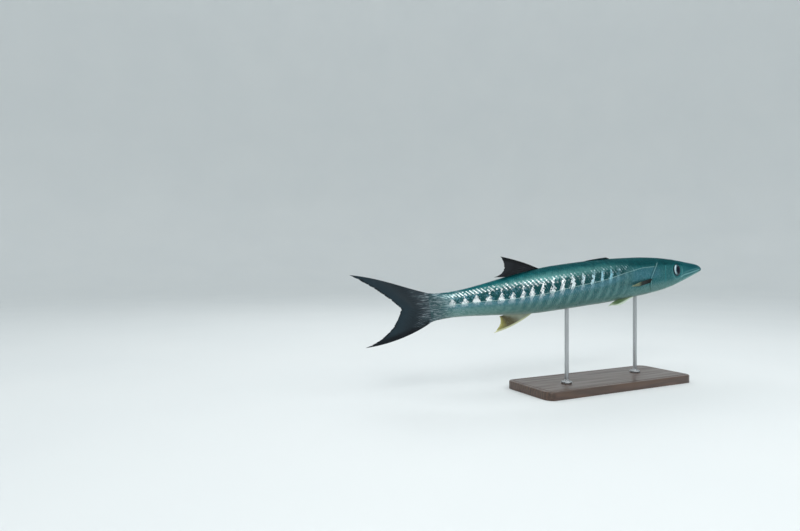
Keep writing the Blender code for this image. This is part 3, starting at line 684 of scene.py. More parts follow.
def cutEyeHoles(mesh):
    bm = bmesh.new()
    bm.from_mesh(mesh)
    bmesh.ops.remove_doubles(bm, verts=bm.verts[:], dist=0.002)
    centre = Vector((-eye["at"][0], 0, eye["at"][2]))
    hole, radii = eye["hole"], eye["radii"]

    def outBy(vert):
        return math.hypot((vert.co.x - centre.x) / radii[0], (vert.co.z - centre.z) / radii[2])

    def drawIn(vert, share):
        vert.co.x = centre.x + (vert.co.x - centre.x) * share
        vert.co.z = centre.z + (vert.co.z - centre.z) * share

    near = {vert: outBy(vert) for vert in bm.verts if abs(vert.co.y) > 12 and outBy(vert) < 1.3}
    inside = [face for face in bm.faces if all(near.get(vert, 9) < hole for vert in face.verts)]
    bmesh.ops.delete(bm, geom=inside, context="FACES")
    lip = [edge for edge in bm.edges if edge.is_boundary and all(vert in near for vert in edge.verts)]
    for vert in {vert for edge in lip for vert in edge.verts}:
        drawIn(vert, hole / outBy(vert))
        vert.co.y = math.copysign(float(eyeRim(-vert.co.x, vert.co.z)), vert.co.y)
    for inward, shrink in eye["wall"]:
        drawn = bmesh.ops.extrude_edge_only(bm, edges=lip)["geom"]
        lip = pick(drawn, bmesh.types.BMEdge)
        for vert in pick(drawn, bmesh.types.BMVert):
            drawIn(vert, shrink)
            vert.co.y -= math.copysign(inward, vert.co.y)
    writeMesh(bm, mesh)


skinMaterial = coatMaterial("skin", False)
scaleMaterial = coatMaterial("scales", True)
skin = makeSkin(skinMaterial)
print("skin", len(skin.data.polygons), "faces")


# one scale, as long and wide as so many times its row's spacing, with its heights in millimetres
scaleShape = {
    "segments": 8, "long": 1.85, "wide": 0.94, "dome": 0.02, "thick": 0.08, "lift": 0.075, "peak": 0.17,
    "front": 0.86, "roll": 0.035, "shiftSpread": 0.04, "liftSpread": 0.14, "widthSpread": 0.03,
}
trunkScales = {
    "rows": 32, "from": 200.0, "to": 844, "base": -0.12, "raggedBy": 9,
    # how far apart they are, by distance
    "pitchAt": ((215, 3.7), (262, 4.5), (400, 5.2), (560, 5.0), (700, 4.2), (790, 3.3), (846, 2.6)),
}
headScales = {"rows": 44, "from": 120, "to": 262, "pitch": 2.7, "base": -0.02}
# where the fins stand on the row along the back and the row along the belly
finBases = {0: ((364, 452), (590, 679)), trunkScales["rows"]: ((618, 692),)}
# where a row's angle is for its share of the way from the back to the belly, by distance
shareSteps = np.linspace(0, 1, 65)
tableStep = 4.0
tableAt = np.arange(0, bodyEnd + 1, tableStep)


def angleTable():
    rows = []
    for distance in tableAt:
        angles = np.linspace(math.pi / 2, -math.pi / 2, 241)
        ring = ringPoints(distance, angles)
        run = np.concatenate([[0], np.cumsum(np.hypot(*np.diff(ring[:, 1:], axis=0).T))])
        rows.append((np.interp(shareSteps, run / run[-1], angles), run[-1]))
    return np.array([row[0] for row in rows]), np.array([row[1] for row in rows])


angleRows, halfGirths = angleTable()


def angleAtShare(distance, share):
    # share 0 is the back, 1 the belly. It runs past either onto the other side
    folded = np.abs(share)
    over = folded > 1
    folded = np.where(over, 2 - folded, folded)
    row = np.clip(distance / tableStep, 0, len(tableAt) - 1.001)
    column = np.clip(folded * (len(shareSteps) - 1), 0, len(shareSteps) - 1.001)
    r, c = row.astype(int), column.astype(int)
    fr, fc = row - r, column - c
    angle = (angleRows[r, c] * (1 - fr) + angleRows[r + 1, c] * fr) * (1 - fc)
    angle += (angleRows[r, c + 1] * (1 - fr) + angleRows[r + 1, c + 1] * fr) * fc
    return np.where((share < 0) | over, math.pi - angle, angle)


def heightAtShare(distance, share):
    return ringPoints(distance, angleAtShare(distance, np.full(len(distance), share)))[:, 2]


def rootUv(distance, share):
    # a scale's root on the skin's own unwrap
    margin = bake["margin"]
    u = margin + (1 - 2 * margin) * distance / bodyEnd
    return np.stack([u, 2 * margin + (1 - 4 * margin) * np.clip(share, 0, 1)], axis=-1)


def scaleTemplate():
    # one scale, a low dome with a round rear edge, closed underneath. It is 1 long and 1 wide
    bm = bmesh.new()
    bmesh.ops.create_circle(bm, cap_ends=True, segments=scaleShape["segments"], radius=0.5)
    for vert in bm.verts:
        vert.co.x *= 1.0 if vert.co.x > 0 else scaleShape["front"]
    drawn = bmesh.ops.extrude_face_region(bm, geom=bm.faces[:])["geom"]
    for vert in pick(drawn, bmesh.types.BMVert):
        vert.co.z = 1
    for vert in bmesh.ops.poke(bm, faces=pick(drawn, bmesh.types.BMFace))["verts"]:
        vert.co.x = scaleShape["peak"]
        vert.co.z = 2
    return writeMesh(bm, bpy.data.meshes.new("scaleTemplate"))


template = scaleTemplate()


def makeCoat(name, side, distance, share, pitch, width, tone, lit, lift, roll, base):
    # copies the template over the surface: one array of copies, then each point laid on the body
    count = len(distance)
    obj = newObject(name, template)
    array = obj.modifiers.new("copies", "ARRAY")
    array.count = count
    array.use_relative_offset = False
    graph = bpy.context.evaluated_depsgraph_get()
    mesh = bpy.data.meshes.new_from_object(obj.evaluated_get(graph))
    obj.modifiers.clear()
    obj.data = mesh
    local = readPoints(template)
    k = np.repeat(np.arange(count), len(local))
    # level is 0 underneath, 1 at the edge and 2 at the peak
    along, across, level = np.tile(local, (count, 1)).T
    isPeak = level > 1.5
    length = pitch * scaleShape["long"]
    at = np.clip(distance[k] + along * length[k], 0.5, bodyEnd - 0.1)
    sideways = across * width[k]
    angle = angleAtShare(at, share[k] + sideways / np.interp(at, tableAt, halfGirths))
    height = ringPoints(at, angle)[:, 2]
    grow = base - coatDepth + (along + 0.4) * length[k] * lift[k] + sideways * roll[k]
    grow += scaleShape["dome"] * length[k] * isPeak + scaleShape["thick"] * (level > 0.5)
    grow += skinRelief(at, height, angle)
    points = ringPoints(at, angle, np.minimum(grow, -0.02))
    points[:, 1] *= side
    # each scale is painted by the middle of what shows of it
    shown = distance + 0.22 * length
    shownHeight = ringPoints(shown, angleAtShare(shown, share))[:, 2]
    rim = np.where(isPeak, 0, np.clip(along * 2, 0, 1))
    markSurface(mesh, shown[k], shownHeight[k], tone[k], rim, isPeak, (at, height))
    setAttributes(mesh, lit=lit[k])
    corners = np.empty(len(mesh.loops), np.int32)
    mesh.loops.foreach_get("vertex_index", corners)
    uv = rootUv(distance, share)[k] + bake["patch"] * np.stack([along, across], axis=1)
    layer = mesh.uv_layers.new(name="OFBake")
    layer.data.foreach_set("uv", uv[corners].astype(np.float32).reshape(-1))
    writePoints(mesh, bent(points))
    if side > 0:
        mesh.flip_normals()
    return obj


def pitchHere(at):
    return float(np.interp(at, *zip(*trunkScales["pitchAt"], strict=True)))


def sideRows(side, rows):
    # the rows along the back and the belly belong to the left side
    return range(rows + 1) if side > 0 else range(1, rows)


def trunkCoat(side, name):
    places, at = [], trunkScales["from"]
    while at < trunkScales["to"]:
        places.append(at)
        at += pitchHere(at)
    places = np.array(places)
    step = np.gradient(places)
    rows = trunkScales["rows"]
    found = []
    for row in sideRows(side, rows):
        share = row / rows
        at = places + (step / 2 if row % 2 else 0)
        height = heightAtShare(at, share)
        raggedEnd = trunkScales["to"] - trunkScales["raggedBy"] * rng.random(len(at)) ** 2
        keep = (at > smoothAt(height, gillLine) + 5.2) & (at < raggedEnd)
        for start, end in finBases.get(row, ()):
            keep &= (at < start) | (at > end)
        # every second slanting row of scales carries a painted glint
        lit = (np.arange(len(places)) + (row % 2 + row) // 2) % 2 == 0
        found.append(np.stack(np.broadcast_arrays(at, share, step, lit))[:, keep])
    return looseScales(side, name, found, trunkScales)


def headCoat(side, name):
    # cheek, gill cover and nape, small on the cheek
    pitch, rows = headScales["pitch"], headScales["rows"]
    found = []
    for row in sideRows(side, rows):
        share = row / rows
        at = np.arange(headScales["from"], headScales["to"], pitch) + (pitch / 2 if row % 2 else 0)
        height = heightAtShare(at, share)
        cheek = at - smoothAt(height, cheekLine)
        gill = at - smoothAt(height, gillLine)
        onCheek = (cheek < -4) & (height < 24) & (height > -31)
        onCheek &= at > 125 + 0.9 * np.maximum(height + 12, 0)
        onCover = (cheek > 3.4) & (gill < -3.4) & (height < 24) & (height > -40)
        napeFrom = 128 + 24 * bell(height - 24, 5) + rng.normal(0, 4, len(at))
        onNape = (height >= 24) & (gill < 2.2) & (at > napeFrom)
        keep = (onCheek | onCover | onNape) & (eyeShare(at, height) > 1.5 + 0.1 * rng.random(len(at)))
        found.append(np.stack(np.broadcast_arrays(at, share, pitch, 0))[:, keep])
    return looseScales(side, name, found, headScales)


def looseScales(side, name, found, coat):
    # found holds each row's places, shares and pitches, and whether its scales carry a painted glint
    distance, share, pitch, lit = np.concatenate(found, axis=1)
    count = len(distance)
    width = np.interp(distance, tableAt, halfGirths) / coat["rows"] * 2 * scaleShape["wide"]
    distance = distance + rng.normal(0, scaleShape["shiftSpread"], count) * pitch
    tone = rng.random(count)
    lit = np.where(lit * (tone > 0.08) > 0.5, 0.75 + 0.25 * tone, 0.12 * tone)
    lift = scaleShape["lift"] * rng.normal(1, scaleShape["liftSpread"], count)
    roll = rng.normal(0, scaleShape["roll"], count)
    width = width * rng.normal(1, scaleShape["widthSpread"], count)
    obj = makeCoat(name, side, distance, share, pitch, width, tone, lit, lift, roll, coat["base"])
    print(name, count, "scales")
    return finishPiece(obj, scaleMaterial, "skin", sharp=40)


for word, side in sides:
    trunkCoat(side, "scales_trunk_" + word)
    headCoat(side, "scales_head_" + word)
bpy.data.meshes.remove(template)


# the lateral line, one low tube on each of its scales
linePiece = {
    "from": 234.0, "to": 838, "long": 0.72, "wide": 0.9, "high": 0.45, "smallest": 0.35, "smallerFrom": 785,
}


def makeLateralLine(side, name):
    bm = bmesh.new()
    uvLayer = bm.loops.layers.uv.new("OFBake")
    at = linePiece["from"]
    while at < linePiece["to"]:
        pitch = pitchHere(at)
        made = bmesh.ops.create_uvsphere(bm, u_segments=6, v_segments=4, radius=0.5)["verts"]
        up, down = (float(value) for value in sectionAt(at)[:2])
        share = float(lateralAt(at))
        slope = float((lateralAt(at + 1) - lateralAt(at - 1)) / 2) * (up + down)
        for loop in {loop for vert in made for loop in vert.link_loops}:
            loop[uvLayer].uv = rootUv(at, share) + bake["patch"] * np.array(loop.vert.co[:2])
        # the tubes get smaller on the tail's root
        shrink = fade(at, linePiece["to"], linePiece["smallerFrom"])
        size = float(linePiece["smallest"] + (1 - linePiece["smallest"]) * shrink)
        for vert in made:
            place = at + vert.co.x * linePiece["long"] * pitch
            height = up - share * (up + down) - slope * (place - at) + vert.co.y * linePiece["wide"] * size
            grow = min(-0.28 + vert.co.z * linePiece["high"] * size, -0.02)
            point = ringPoints(place, angleAtHeight(place, height), grow)
            vert.co = (point[0], point[1] * side, point[2])
        at += pitch
    obj = objectFrom(bm, name)
    points = readPoints(obj.data)
    markSurface(obj.data, -points[:, 0], points[:, 2], tone=0.8)
    writePoints(obj.data, bent(points))
    return finishPiece(obj, skinMaterial, "skin")


for word, side in sides:
    makeLateralLine(side, "lateral_line_" + word)
print("lateral lines")


# eyes, each painted by the distance from its pupil and by the place round it
eyeLook = {"segments": 64, "rings": 40, "pupil": 0.7, "pupilAhead": 0.17, "iris": 0.95, "bulge": 0.05}
eyeColours = {
    "dark": (150, 184, 194), "pale": (222, 242, 246), "rim": (34, 62, 84), "top": (44, 70, 78),
    "foot": (50, 76, 86), "front": (24, 46, 60), "ring": (112, 134, 128), "pupil": (0, 6, 26),
    "edge": (12, 26, 34),
}


def eyeMaterial():
    material, tree, shader = newMaterial("eye", Roughness=0.4, Specular_IOR_Level=0.03, Coat_Weight=0.25,
                                         Coat_IOR=1.33, Coat_Roughness=0.03)
    inks = inksOf(eyeColours)
    pupil, iris = eyeLook["pupil"], eyeLook["iris"]
    out, turn, high, ahead = (attribute(tree, key) for key in ("eyeOut", "eyeTurn", "eyeHigh", "eyeAhead"))
    spokes = newNode("CombineXYZ", times(turn, 3.0), times(out, 0.5))
    streaks = newNode("TexNoise", spokes.outputs[0], noise_dimensions="2D")
    streaks.inputs["Scale"].default_value = 14
    edge = plus(out, swing(noise(tree, 700, 3), 0.05))
    # the iris is silver with dark patches; its top, foot and front are darkened, partly as painted shade,
    # leaving a bright rear crescent as a painted highlight
    colour = layered(
        inks.dark,
        (ramp(streaks.outputs["Fac"], 0.35, 0.7), inks.pale),
        (ramp(out, 0.88, 0.78, 0.0, 0.85), inks.rim),
        (ramp(high, 0.75, 0.98), inks.top),
        (ramp(high, -0.3, -0.8, 0.0, 0.85), inks.foot),
        (ramp(ahead, -0.5, 0.0, 0.0, 0.96), inks.front),
        (ramp(edge, pupil + 0.05, pupil + 0.01), inks.ring),
        (ramp(out, pupil + 0.015, pupil - 0.01), inks.pupil),
        (ramp(edge, iris - 0.03, iris + 0.05), inks.edge),
    )
    shine = times(between(out, pupil, pupil + 0.03, 0.85, 0.9), 0.25)
    connect(shader, streaks.outputs["Fac"], 0.15, 0.0003, Base_Color=colour, Metallic=shine)
    return material


eyePaint = eyeMaterial()


def makeEye(side, word):
    bm = bmesh.new()
    bmesh.ops.create_uvsphere(bm, u_segments=eyeLook["segments"], v_segments=eyeLook["rings"], radius=1.0)
    bmesh.ops.rotate(bm, verts=bm.verts[:], matrix=Matrix.Rotation(math.radians(-90), 3, "X"))
    obj = objectFrom(bm, "eyeball_" + word)
    points = readPoints(obj.data)  # y is out of the head
    # the clear front bulges a little more than the ball
    out = np.hypot(points[:, 0] - eyeLook["pupilAhead"] * np.clip(points[:, 1], 0, 1), points[:, 2])
    outer = points[:, 1] > 0
    setAttributes(obj.data, eyeOut=np.where(outer, out, 1.5), eyeTurn=np.arctan2(points[:, 2], points[:, 0]),
                  eyeHigh=points[:, 2], eyeAhead=points[:, 0])
    points[:, 1] += eyeLook["bulge"] * bell(out, 0.6) * outer
    turn = Matrix.Rotation(math.radians(-eye["turn"]), 3, "Z")
    turn = turn @ Matrix.Rotation(math.radians(eye["lift"]), 3, "X")
    points = (points * eye["radii"]) @ np.array(turn).T + (-eye["at"][0], *eye["at"][1:])
    points[:, 1] *= side
    writePoints(obj.data, bent(points))
    if side < 0:
        obj.data.flip_normals()
    return finishPiece(obj, eyePaint, "eye", "eye_" + word)


for word, side in sides:
    makeEye(side, word)
print("eyes")


# fins, all as (distance, height) in millimetres. Bands are the faces along and across them
finThick = {"root": 3.0, "edge": 0.55, "sunk": 0.06}
secondDorsal = {
    "base": (592, 677), "lead": (637, 71), "tip": (683, 84.5), "trail": (664, 48), "last": (704, 43),
    "rays": 10, "bands": (90, 34), "sign": 1,
}
analFin = {
    "base": (620, 690), "lead": (670, -68), "tip": (717, -72.5), "trail": (693, -55), "last": (700, -40),
    "rays": 10, "bands": (90, 34), "sign": -1,
}
foldedDorsal = {
    "from": 366, "to": 452, "height": 4.6, "thick": 3.2, "frontHeight": 0.15, "frontRise": 7, "fall": 0.6,
    "rays": 5, "bands": (120, 12),
}
tailFin = {
    "top": {"root": (846, 29), "lead": ((895, 47), (940, 74)), "tip": (1003, 88), "trail": (935, 42)},
    "low": {"root": (846, -31), "lead": ((880, -50), (935, -66.5)), "tip": (990, -66.5), "trail": (925, -50)},
    "fork": (905, 4), "rays": 22, "bands": (300, 64), "stiff": 0.9, "root": 3.4,
}
pectoral = {
    "root": (264, -12), "length": 95, "rootWidth": 10, "width": 12, "fullest": 0.42, "backDown": 3,
    "spread": 8, "roll": 22, "rays": 12, "bands": (100, 44),
}
pelvic = {
    "root": (315, -46), "length": 99, "rootWidth": 7, "width": 16, "fullest": 0.6, "backDown": 6.5,
    "spread": 5, "roll": -46, "rays": 6, "bands": (72, 44),
}
pairedFin = {"thick": 2.0, "pointed": 0.8, "shear": 0.12, "slant": 0.18, "sunk": 9}


def bezierAt(points, t):
    points = [np.broadcast_to(np.asarray(point, float), (len(t), 2)) for point in points]
    while len(points) > 1:
        points = [a + (b - a) * t[:, None] for a, b in zip(points[:-1], points[1:], strict=True)]
    return points[0]


def rayAt(u, v, rays, branches=(0.3, 0.62)):
    # 1 along the middle of each ray and 0 between them. The rays branch in two, and then in four
    w = (u * rays) % 1 - 0.5
    first = 0.25 * fade(v, branches[0], branches[0] + 0.35)
    second = 0.125 * fade(v, branches[1], branches[1] + 0.3)
    width = 0.17 - 0.075 * fade(v, branches[0], branches[1]) - 0.03 * fade(v, branches[1], 1)
    return np.max([bell(w - a * first - b * second, width) for a in (-1, 1) for b in (-1, 1)], axis=0)


def makeFin(name, shape, place, thickness, material, slotName, node, ragged=0.03, branches=(0.3, 0.62)):
    # one closed sheet that runs up the left face, round the edge and down the right face
    bands, rays = shape["bands"], shape["rays"]
    bm = bmesh.new()
    bmesh.ops.create_grid(bm, x_segments=bands[0], y_segments=2 * bands[1], size=1.0)
    obj = objectFrom(bm, name)
    grid = readPoints(obj.data)
    u, v, face = (grid[:, 0] + 1) / 2, 1 - np.abs(grid[:, 1]), np.sign(grid[:, 1])
    ray = rayAt(u, v, rays, branches)
    nicks = rng.random(rays * 4 + 1) ** 3
    notches = 0.35 * (1 - rayAt(u, np.ones_like(u), rays))
    notches += np.interp(u, np.linspace(0, 1, len(nicks)), nicks)
    inward = -finThick["sunk"] + (1 + finThick["sunk"]) * v
    point, normal = place(u, inward * (1 - ragged * notches * fade(u, 0, 0.06)))
    thick = thickness(u, np.clip(inward, 0, 1))
    thick = thick * (0.45 + 0.55 * ray) * np.sqrt(np.clip(np.minimum(u, 1 - u) * bands[0] / 2.5, 0, 1))
    thick = np.where(np.abs(v - 0.5) > 0.499, 0, np.maximum(thick, 0))
    points = point + normal * (thick * face / 2)[:, None]
    setAttributes(obj.data, ray=ray, reach=np.clip(inward, 0, 1), across=u)
    writePoints(obj.data, points)
    bm = bmesh.new()
    bm.from_mesh(obj.data)
    bmesh.ops.remove_doubles(bm, verts=bm.verts[:], dist=0.004)
    writeMesh(bm, obj.data)
    writePoints(obj.data, bent(readPoints(obj.data)))
    return finishPiece(obj, material, slotName, node, sharp=70)


def flatPlace(points):
    # (distance, height) points as places on the middle plane
    return np.stack([-points[:, 0], np.zeros(len(points)), points[:, 1]], axis=1), np.array([[0.0, 1.0, 0.0]])


def makeUprightFin(name, shape, material, slotName, node):
    sign = shape["sign"]

    def place(u, v):
        base = shape["base"][0] + (shape["base"][1] - shape["base"][0]) * u
        up, down = sectionAt(base)[:2]
        root = np.stack([base, up if sign > 0 else -down], axis=1)
        end = bezierAt((shape["tip"], shape["trail"], shape["last"]), u)
        middleOfLead = (root + np.array(shape["tip"])) / 2
        bow = (root + end) / 2 + (np.array(shape["lead"]) - middleOfLead) * ((1 - u) ** 3)[:, None]
        return flatPlace(bezierAt((root, bow, end), v))

    def thickness(u, v):
        return finThick["edge"] + (finThick["root"] - finThick["edge"]) * (1 - v) ** 1.4 * (1 - 0.6 * u)

    return makeFin(name, shape, place, thickness, material, slotName, node)


def makeFoldedDorsal(material):
    shape = foldedDorsal

    def place(u, v):
        at = shape["from"] + (shape["to"] - shape["from"]) * u
        rise = shape["height"] * (1 - u) ** shape["fall"]
        rise *= np.minimum(1, shape["frontHeight"] + shape["frontRise"] * u)
        return flatPlace(np.stack([at, sectionAt(at)[0] - 0.3 + (np.maximum(rise, 0.5) + 0.3) * v], axis=1))

    def thickness(u, v):
        # the spines lie back, one on the next
        onSpine = bell(((u * 1.35 - v * 0.16) * shape["rays"]) % 1 - 0.35, 0.3)
        return shape["thick"] * (1 - 0.55 * v) * (1 - 0.7 * u) * (0.6 + 0.4 * onSpine)

    return makeFin("fin_dorsal_first", shape, place, thickness, material, "dark_fin", "dorsal_fin_first",
                   ragged=0)


def makeTailFin(material):
    shape = tailFin

    def place(u, v):
        across = 2 * u - 1
        share = np.abs(across)
        points = []
        for lobe in (shape["top"], shape["low"]):
            root = np.stack([np.full(len(u), lobe["root"][0] - 0.3), lobe["root"][1] * share], axis=1)
            end = bezierAt((shape["fork"], lobe["trail"], lobe["tip"]), share)
            edge = np.array(lobe["root"], float), np.array(lobe["tip"], float)
            inner = []
            for k in (1, 2):
                bow = np.array(lobe["lead"][k - 1]) - (edge[0] + (edge[1] - edge[0]) * k / 3)
                inner.append(root + (end - root) * k / 3 + bow * (share**2)[:, None])
            points.append(bezierAt((root, *inner, end), v))
        return flatPlace(np.where((across >= 0)[:, None], points[0], points[1]))

    def thickness(u, v):
        stiff = 1 + shape["stiff"] * np.abs(2 * u - 1) ** 4 * v * (1 - v)
        return (finThick["edge"] + (shape["root"] - finThick["edge"]) * (1 - v) ** 1.5) * stiff

    return makeFin("fin_tail", shape, place, thickness, material, "dark_fin", "tail_fin", ragged=0.035,
                   branches=(0.2, 0.5))


def makePairedFin(name, shape, side, material, node):
    high = shape["root"][1]
    rootAngle = angleAtHeight(shape["root"][0], high)
    root = ringPoints(shape["root"][0], rootAngle)
    root[1] *= side
    down, spread, roll = (math.radians(shape[key]) for key in ("backDown", "spread", "roll"))
    back = math.cos(spread)
    along = np.array([-math.cos(down) * back, side * math.sin(spread), -math.sin(down) * back])
    lift = np.array([0.0, side * math.sin(roll), math.cos(roll)])
    lift -= along * (lift @ along)
    lift /= np.linalg.norm(lift)
    normal = np.cross(along, lift)

    def place(u, v):
        reach = -pairedFin["sunk"] * 0.5 + (shape["length"] + pairedFin["sunk"] * 0.5) * v
        share = np.maximum(reach, 0) / shape["length"]
        bulge = np.sin(np.pi * share ** (math.log(0.5) / math.log(shape["fullest"])))
        wide = shape["rootWidth"] * (1 - pairedFin["pointed"] * share**3)
        wide += (shape["width"] - shape["rootWidth"]) * bulge
        wide *= np.sqrt(np.clip((1.02 - share) / 0.09, 0, 1))
        across = (u - 0.5 - pairedFin["shear"] * share) * wide
        reach = reach * (1 - pairedFin["slant"] * (1 - u) * share)
        return root + along * reach[:, None] + lift * across[:, None], normal[None, :]

    def thickness(u, v):
        return finThick["edge"] + (pairedFin["thick"] - finThick["edge"]) * (1 - v) ** 1.2

    return makeFin(name, shape, place, thickness, material, "pale_fin", node, ragged=0.04)


plainLook = {"rayShare": 0.5, "spots": 0.3, "leadWidth": 0.2, "tipFrom": 0.55}
darkLook = plainLook | {
    "root": (22, 26, 30), "middle": (16, 18, 22), "tip": (34, 36, 40), "lead": (4, 6, 9),
    "edge": (34, 37, 40), "ray": (36, 39, 44),
}
foldedLook = plainLook | {
    "root": (6, 38, 42), "middle": (8, 34, 38), "tip": (14, 40, 44), "lead": (4, 20, 24),
    "edge": (16, 46, 50), "ray": (20, 52, 56),
}
tailLook = plainLook | {
    "root": (50, 56, 62), "middle": (24, 34, 40), "tip": (26, 41, 49), "lead": (6, 12, 18),
    "edge": (14, 22, 28), "ray": (48, 66, 74), "rayShare": 0.45,
}
analLook = plainLook | {
    "root": (160, 168, 152), "middle": (72, 66, 44), "tip": (158, 152, 76), "lead": (198, 200, 164),
    "edge": (204, 202, 150), "ray": (112, 106, 74), "rayShare": 0.4, "leadWidth": 0.16, "tipFrom": 0.66,
}
pectoralLook = plainLook | {
    "root": (4, 8, 10), "middle": (14, 20, 22), "tip": (136, 150, 120), "lead": (8, 12, 14),
    "edge": (176, 184, 156), "ray": (64, 74, 66), "rayShare": 0.3, "spots": 0.1, "tipFrom": 0.4,
}
pelvicLook = plainLook | {
    "root": (136, 152, 126), "middle": (78, 106, 68), "tip": (182, 194, 168), "lead": (212, 224, 208),
    "edge": (210, 220, 204), "ray": (106, 130, 88), "spots": 0.1, "leadWidth": 0.42, "tipFrom": 0.62,
}


def finMaterial(name, look):
    # colours run from root to tip, then along the rays, the leading edge and the far edge
    material, tree, shader = newMaterial(name, Specular_IOR_Level=0.14, Coat_Weight=0.05, Coat_Roughness=0.2)
    inks = inksOf({key: look[key] for key in ("root", "middle", "tip", "lead", "edge", "ray")})
    reach, across, rays = (attribute(tree, key) for key in ("reach", "across", "ray"))
    fine = noise(tree, 600, 3)
    wavy = plus(reach, swing(noise(tree, 70, 3), 0.3))
    colour = layered(
        inks.root,
        (ramp(wavy, 0.05, 0.5), inks.middle),
        (ramp(wavy, look["tipFrom"], look["tipFrom"] + 0.35), inks.tip),
        (times(rays, look["rayShare"]), inks.ray),
        (ramp(across, look["leadWidth"], look["leadWidth"] * 0.4, 0.0, 0.9), inks.lead),
        (ramp(wavy, 0.9, 1.02, 0.0, 0.8), inks.edge),
        (ramp(fine, 0.45, 0.75, 0.0, look["spots"]), inks.root),
    )
    if look is tailLook:
        # the body's silver runs out along the rays of the tail fin, in the middle of its root
        out = plus(reach, swing(noise(tree, 260, 3, (0.07, 0.07, 1)), 0.7))
        out = minus(out, swing(rays, 0.12))
        silvered = times(ramp(out, 0.36, 0.1, 0.0, 0.8), ramp(away(across, 0.5), 0.5, 0.3))
        dashes = mixed(silverDashes(tree), paint(*coatColours["tail"]), paint(*coatColours["dash"]))
        colour = mixed(larger(silvered, ramp(reach, 0.08, 0.03)), colour, dashes)
    connect(shader, fine, 0.3, 0.0003, Base_Color=colour, Roughness=plus(times(fine, 0.25), 0.3))
    return material


darkFinPaint = finMaterial("darkFin", darkLook)
foldedPaint = finMaterial("foldedFin", foldedLook)
tailPaint = finMaterial("tailFin", tailLook)
analPaint = finMaterial("analFin", analLook)
pectoralPaint = finMaterial("pectoralFin", pectoralLook)
pelvicPaint = finMaterial("pelvicFin", pelvicLook)

makeUprightFin("fin_dorsal_second", secondDorsal, darkFinPaint, "dark_fin", "dorsal_fin_second")
makeUprightFin("fin_anal", analFin, analPaint, "pale_fin", "anal_fin")
makeFoldedDorsal(foldedPaint)
makeTailFin(tailPaint)
for word, side in sides:
    makePairedFin("fin_pectoral_" + word, pectoral, side, pectoralPaint, "pectoral_fin_" + word)
    makePairedFin("fin_pelvic_" + word, pelvic, side, pelvicPaint, "pelvic_fin_" + word)
print("fins")


# the stand, in metres
standLook = {
    "corner": 0.020, "edge": 0.003, "margin": 0.009, "groove": 0.0012, "rodTurns": 48, "rodRadius": 0.0045,
    # the collar's outline, out from its own radius or from the rod's, and up
    "collar": ((-0.0006, 0), (0, 0.0006), (0, 0.0030), (-0.0008, 0.0040)),
    "neck": ((0.0023, 0.0043), (0.0013, 0.0050), (0.0007, 0.0062), (0.0007, 0.0074), (0, 0.0080)),
}
standColours = {
    "wood": (64, 45, 34), "woodPale": (86, 61, 45), "woodRed": (70, 46, 32), "pore": (38, 24, 17),
    "steel": (150, 152, 154), "steelPale": (196, 198, 200),
}


def woodMaterial():
    material, tree, shader = newMaterial("standWood", Coat_Weight=0.4, Coat_Roughness=0.15)
    inks = inksOf(standColours)
    wave = newNode("TexWave", objectCoords(tree, (0.12, 1, 1)), bands_direction="Y")
    for name, value in (("Scale", 42), ("Distortion", 9), ("Detail", 3)):
        wave.inputs[name].default_value = value
    pores = noise(tree, 120, 4, (0.05, 1, 1))
    streaks = ramp(noise(tree, 30, 3, (0.15, 1, 1)), 0.35, 0.7, 0.0, 0.5)
    colour = layered(inks.wood, (wave.outputs["Fac"], inks.woodPale), (streaks, inks.woodRed),
                     (ramp(pores, 0.5, 0.75, 0.0, 0.6), inks.pore))
    connect(shader, pores, 0.2, 0.0003, Base_Color=colour, Roughness=ramp(pores, 0.3, 0.8, 0.3, 0.5))
    return material


def steelMaterial():
    material, tree, shader = newMaterial("rodSteel", Metallic=1.0)
    brushed = noise(tree, 500, 2, (1, 1, 0.04))
    inks = inksOf(standColours)
    colour = mixed(brushed, inks.steel, inks.steelPale)
    connect(shader, brushed, 0.12, 0.0002, Base_Color=colour, Roughness=ramp(brushed, 0.3, 0.7, 0.24, 0.42))
    return material


def makeBase(material):
    low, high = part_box("stand_base")
    bm = bmesh.new()
    bmesh.ops.create_cube(bm, size=1.0)
    bmesh.ops.scale(bm, vec=high - low, verts=bm.verts[:])
    bmesh.ops.translate(bm, vec=(low + high) / 2, verts=bm.verts[:])
    upright = [edge for edge in bm.edges if abs(edge.verts[0].co.z - edge.verts[1].co.z) > mm]
    bmesh.ops.bevel(bm, geom=upright, offset=standLook["corner"], segments=16, profile=0.5,
                    affect="EDGES", material=-1)
    top = [face for face in bm.faces if face.normal.z > 0.9]
    groove = standLook["groove"]
    for thickness, depth in ((standLook["margin"], 0), (groove, -groove), (groove, groove)):
        bmesh.ops.inset_region(bm, faces=top, thickness=thickness, depth=depth)
    rim = [edge for edge in bm.edges if all(vert.co.z > high.z - 0.0001 for vert in edge.verts)
           and edge.calc_face_angle(0) > 1.2]
    bmesh.ops.bevel(bm, geom=rim, offset=standLook["edge"], segments=5, profile=0.5,
                    affect="EDGES", material=-1)
    return finishPiece(objectFrom(bm, "base"), material, "base_wood", "stand_base", sharp=30)


